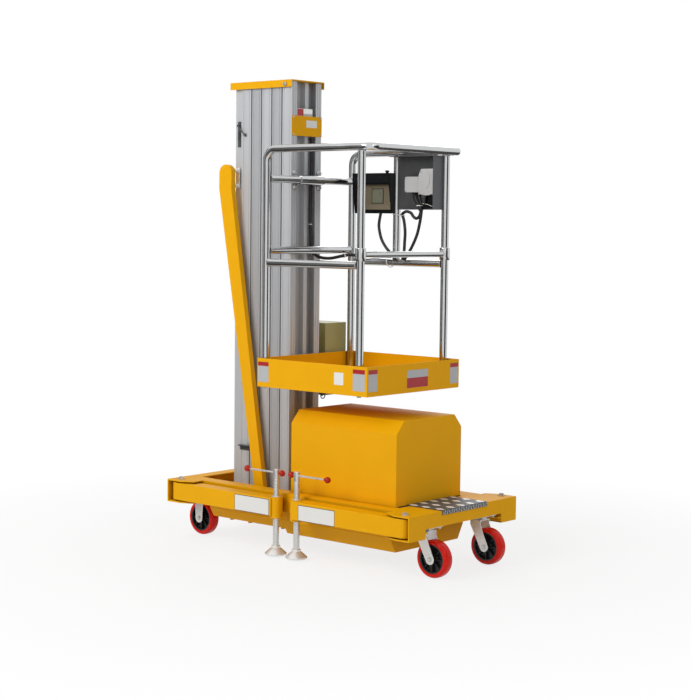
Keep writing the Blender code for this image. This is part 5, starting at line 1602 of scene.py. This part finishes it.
@dataclass
class Wiring:
    """Main cable, leads and cable ties."""

    cable_x: float = -0.208
    lead_end: float = 1.2335

    def build(self) -> None:
        """Makes the cables and what holds them."""
        self.cables()
        self.ties()

    def cables(self) -> None:
        """Makes the main cable, which comes down the mast, and the leads between boxes and rail."""
        rows = ((0.046, 1.750), (0.047, 1.66), (0.043, 1.56), (0.039, 1.46), (0.041, 1.38), (0.047, 1.31))
        main = [(self.cable_x, y, z) for y, z in rows]
        main += [(-0.207, 0.050, 1.28), (-0.203, 0.056, 1.256), (-0.194, 0.088, 1.238)]
        main += [(-0.180, 0.138, 1.233), (-0.164, 0.194, 1.242), (-0.144, 0.225, 1.248)]
        main += [(-0.120, 0.248, 1.246), (-0.05, 0.266, 1.2432), (0.02, 0.262, 1.2432)]
        main += [(0.045, 0.252, 1.2436), (0.074, 0.2465, 1.2440)]
        made = Shape().tube(flowing(main), 0.0070, 16)
        made.fit("mast_cable_run", CABLE, "platform", "cable_black", ["mast_cable"])
        box = [(0.016, 0.247, 1.436)]
        rows = [(0.013, 1.424), (0.007, 1.396), (0.006, 1.368), (0.019, 1.323), (0.042, 1.289)]
        rows.append((0.070, 1.262))
        box += [(x, 0.248, z) for x, z in rows] + [(0.098, 0.249, self.lead_end)]
        middle = [(0.136, 0.243, 1.428), (0.141, 0.244, 1.418)]
        middle += [(x, 0.245, z) for x, z in ((0.148, 1.395), (0.154, 1.351), (0.152, 1.308))]
        middle += [(0.149, 0.246, 1.270), (0.138, 0.249, self.lead_end)]
        shroud = [(0.250, 0.234, 1.452), (0.249, 0.235, 1.438), (0.243, 0.235, 1.400), (0.228, 0.236, 1.346)]
        shroud += [(0.206, 0.237, 1.302), (0.180, 0.241, 1.266), (0.150, 0.248, self.lead_end)]
        link = [(0.136, 0.243, 1.424), (0.150, 0.237, 1.433)]
        rows = [(0.169, 1.439), (0.192, 1.433), (0.206, 1.418), (0.222, 1.410), (0.238, 1.419)]
        rows.append((0.247, 1.443))
        link += [(x, 0.235, z) for x, z in rows]
        shape = Shape()
        for path in (box, middle, shroud, link):
            shape.tube(flowing(path), 0.0064, 14)
        shape.fit("platform_lead_runs", CABLE, "platform", "cable_black", ["platform_leads"])

    def ties(self) -> None:
        """Makes the bands that hold the cables."""
        loops = (
            ((0.061, 0.2620, 1.2270), Facing.FORWARD, 0.0280),
            ((-0.100, 0.2540, 1.2445), Facing.FORWARD, 0.0085),
            ((0.243, 0.2315, 1.464), Facing.UP, 0.0138),
            ((-0.158, 0.2050, 1.2440), Facing.RIGHT, 0.0085),
            ((self.cable_x, 0.043, 1.56), Facing.UP, 0.0078),
            ((self.cable_x, 0.041, 1.38), Facing.UP, 0.0078),
        )
        for index, (spot, turn, radius) in enumerate(loops):
            guide = spots([(spot, turn)])
            TIES.grow(f"cable_tie_{index}", guide, TIE_WHITE, "platform", Loop_radius=radius)
        band = [(0.0675, 0.272, 1.4275), (0.0725, 0.2585, 1.4272), (0.085, 0.2538, 1.4268)]
        band += [(0.118, 0.2425, 1.4242), (0.141, 0.2365, 1.4222), (0.1490, 0.2440, 1.4218)]
        band += [(0.143, 0.2520, 1.4222), (0.116, 0.2740, 1.4242), (0.100, 0.2858, 1.4258)]
        band += [(0.085, 0.2905, 1.4268), (0.0715, 0.2850, 1.4274), (0.0668, 0.272, 1.4285)]
        Shape().tube(flowing(band, 4), 0.0013, 8).fit("tie_round_middle_post", TIE_WHITE, "platform")
        band = [(0.2740, 0.220, 1.4720), (0.2760, 0.2095, 1.4720), (0.300, 0.2090, 1.4690)]
        band += [(0.3240, 0.2095, 1.4610), (0.3255, 0.220, 1.4600)]
        Shape().tube(flowing(band, 4), 0.0012, 8).fit("tie_on_plug", TIE_WHITE, "platform")


@dataclass
class Studio:
    """Pale floor, soft lights, white surround and the camera."""

    camera_at: Point = (4.5611, -5.217, 1.3905)
    yaw: float = 41.0492
    pitch: float = -4.4524
    roll: float = 0.642
    lens: float = 84.39
    floor_reach: float = 60.0

    def build(self) -> None:
        """Makes the studio."""
        self.floor()
        self.world()
        self.lamp("key", (-1.2, -5.2, 4.2), (0.0, 0.0, 0.8), 3.2, 205.0)
        self.lamp("fill", (5.5, -1.5, 3.4), (0.0, 0.0, 0.8), 3.0, 46.0)
        self.lamp("back", (-3.5, 4.5, 3.6), (0.0, 0.0, 0.9), 3.0, 90.0)
        self.board("board_front", (4.0, -0.07, 1.3), (3.2, 3.6), 90, 89)
        self.board("board_rear", (-3.96, 0.56, 1.6), (4.4, 3.6), 90, 262)
        self.board("board_far", (-2.62, 3.02, 1.0), (4.5, 2.0), 90, 221)
        self.board("board_right", (-1.63, -3.65, 1.3), (4.6, 3.6), 90, 336, CARD_GREY)
        self.board("board_low_right", (-2.55, -2.55, 0.004), (4.8, 6.0), 0, 45)
        self.board("board_low_front", (2.55, 2.55, 0.004), (4.8, 6.0), 0, 45)
        self.camera()

    @staticmethod
    def sheet(name: str, wide: float, tall: float) -> bpy.types.Mesh:
        """Gives a flat rectangle.

        Args:
            name: the mesh's name.
            wide: half its width.
            tall: half its height.

        Returns:
            The mesh.
        """
        data = bpy.data.meshes.new(name)
        corners = [(-wide, -tall, 0), (wide, -tall, 0), (wide, tall, 0), (-wide, tall, 0)]
        data.from_pydata(corners, [], [(0, 1, 2, 3)])
        return data

    def floor(self) -> None:
        """Makes the floor, white to the camera, with the object's soft shadow kept."""
        data = self.sheet("studio_floor", self.floor_reach, self.floor_reach)
        floor = linked("studio_floor", data)
        made = bpy.data.materials.new("seamless_paper_white")
        made.use_nodes = True
        tree = made.node_tree
        shader = tree.nodes["Principled BSDF"]
        fixed = {"Base Color": linear("#E9E9E9"), "Roughness": 0.9, "Specular IOR Level": 0.0}
        for key, value in fixed.items():
            shader.inputs[key].default_value = value
        glow = add_node(tree, "ShaderNodeEmission", {"Strength": 1.0})
        place = add_node(tree, "ShaderNodeTexCoord").outputs["Object"]
        away = add_node(tree, "ShaderNodeVectorMath", links={0: place}, operation="LENGTH").outputs["Value"]
        span = {"From Min": 0.9, "From Max": 2.4, "To Min": 0.80, "To Max": 1.0}
        share = add_node(tree, "ShaderNodeMapRange", span, {"Value": away})
        part = add_node(tree, "ShaderNodeMath", links={0: self.seen(tree), 1: share}, operation="MULTIPLY")
        mixed = add_node(tree, "ShaderNodeMixShader", links={0: part, 1: shader, 2: glow})
        tree.links.new(mixed.outputs[0], tree.nodes["Material Output"].inputs["Surface"])
        data.materials.append(made)

    @staticmethod
    def seen(tree: bpy.types.NodeTree) -> bpy.types.Node:
        """Adds nodes that give one where the ray is the camera's, or a mirror or glass one.

        Args:
            tree: the node tree.

        Returns:
            The last of them.
        """
        rays = add_node(tree, "ShaderNodeLightPath").outputs
        kinds = {0: rays["Is Camera Ray"], 1: rays["Is Glossy Ray"]}
        total = add_node(tree, "ShaderNodeMath", links=kinds, operation="MAXIMUM")
        kinds = {0: total, 1: rays["Is Transmission Ray"]}
        return add_node(tree, "ShaderNodeMath", links=kinds, operation="MAXIMUM")

    def world(self) -> None:
        """Makes a plain surround, white where it is seen and dimmer where it only lights."""
        world = bpy.data.worlds.new("studio_surround")
        bpy.context.scene.world = world
        world.use_nodes = True
        tree = world.node_tree
        tree.nodes.clear()
        lit, white = (
            add_node(tree, "ShaderNodeBackground", {"Color": (1, 1, 1, 1), "Strength": power})
            for power in (0.42, 1.0)
        )
        mixed = add_node(tree, "ShaderNodeMixShader", links={0: self.seen(tree), 1: lit, 2: white})
        add_node(tree, "ShaderNodeOutputWorld", links={"Surface": mixed})

    def lamp(self, name: str, at: Point, to: Point, size: float, power: float) -> None:
        """Adds a square soft light.

        Args:
            name: the light's name.
            at: where it is.
            to: the point that it faces.
            size: the length of its sides.
            power: its power in watts.
        """
        data = bpy.data.lights.new(name, "AREA")
        data.size = size
        data.energy = power
        made = linked(name, data)
        made.location = at
        made.rotation_euler = (Vector(to) - Vector(at)).to_track_quat("-Z", "Y").to_euler()

    def board(
        self, name: str, centre: Point, size: Pair, tilt: float, turn: float, finish: Finish = VINYL_DARK
    ) -> None:
        """Adds a dark board that only gloss shows: it draws the dark lines on polished tube.

        Args:
            name: the board's name.
            centre: its middle.
            size: its width and height.
            tilt: how far it is tilted up from lying flat, in degrees.
            turn: its turn round the upright axis, in degrees.
            finish: its colour.
        """
        data = self.sheet(name, size[0] / 2, size[1] / 2)
        facing = Euler((radians(tilt), 0.0, radians(turn)))
        data.transform(Matrix.LocRotScale(Vector(centre), facing, None))
        data.materials.append(finish.material())
        made = linked(name, data)
        for kind in ("camera", "diffuse", "transmission", "volume_scatter", "shadow"):
            setattr(made, f"visible_{kind}", False)

    def camera(self) -> None:
        """Makes the camera at the photograph's view."""
        yaw, pitch, roll = (radians(a) for a in (self.yaw, self.pitch, self.roll))
        ahead = Vector((-sin(yaw) * cos(pitch), cos(yaw) * cos(pitch), sin(pitch)))
        level = Vector((cos(yaw), sin(yaw), 0.0))
        above = level.cross(ahead)
        right = level * cos(roll) + above * sin(roll)
        up = above * cos(roll) - level * sin(roll)
        data = bpy.data.cameras.new("camera")
        data.sensor_width = 36.0
        data.lens = self.lens
        data.clip_end = 200.0
        made = linked("camera", data)
        turn = Matrix((right, up, -ahead)).transposed().to_4x4()
        made.matrix_world = Matrix.Translation(self.camera_at) @ turn
        bpy.context.scene.camera = made


BOLTS = bolt_pattern()
LOZENGES = lozenge_pattern()
TIES = tie_pattern()
BEADS = bead_pattern()
THREADS = thread_pattern()
RIBS = rib_pattern()


def dress_plain_nodes() -> None:
    """Gives the solids that stay in view their finish."""
    for name, finish in PLAIN_NODES.items():
        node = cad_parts[name]
        node.data.materials.clear()
        node.data.materials.append(finish.material())


def main() -> None:
    """Builds the looks, sub-assembly by sub-assembly."""
    bpy.context.scene.view_settings.view_transform = "Standard"
    Studio().build()
    BaseFrame().build()
    PowerHousing().build()
    Mast().build()
    Struts().build()
    Cabinet().build()
    for (end_name, end), (side_name, side) in product(ENDS, SIDES):
        Outrigger(end_name, end, side_name, side).build()
        Caster(end_name, end, side_name, side).build()
    Platform().build()
    Cage().build()
    Controls().build()
    Wiring().build()
    dress_plain_nodes()
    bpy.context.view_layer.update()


if __name__ == "__main__":
    main()
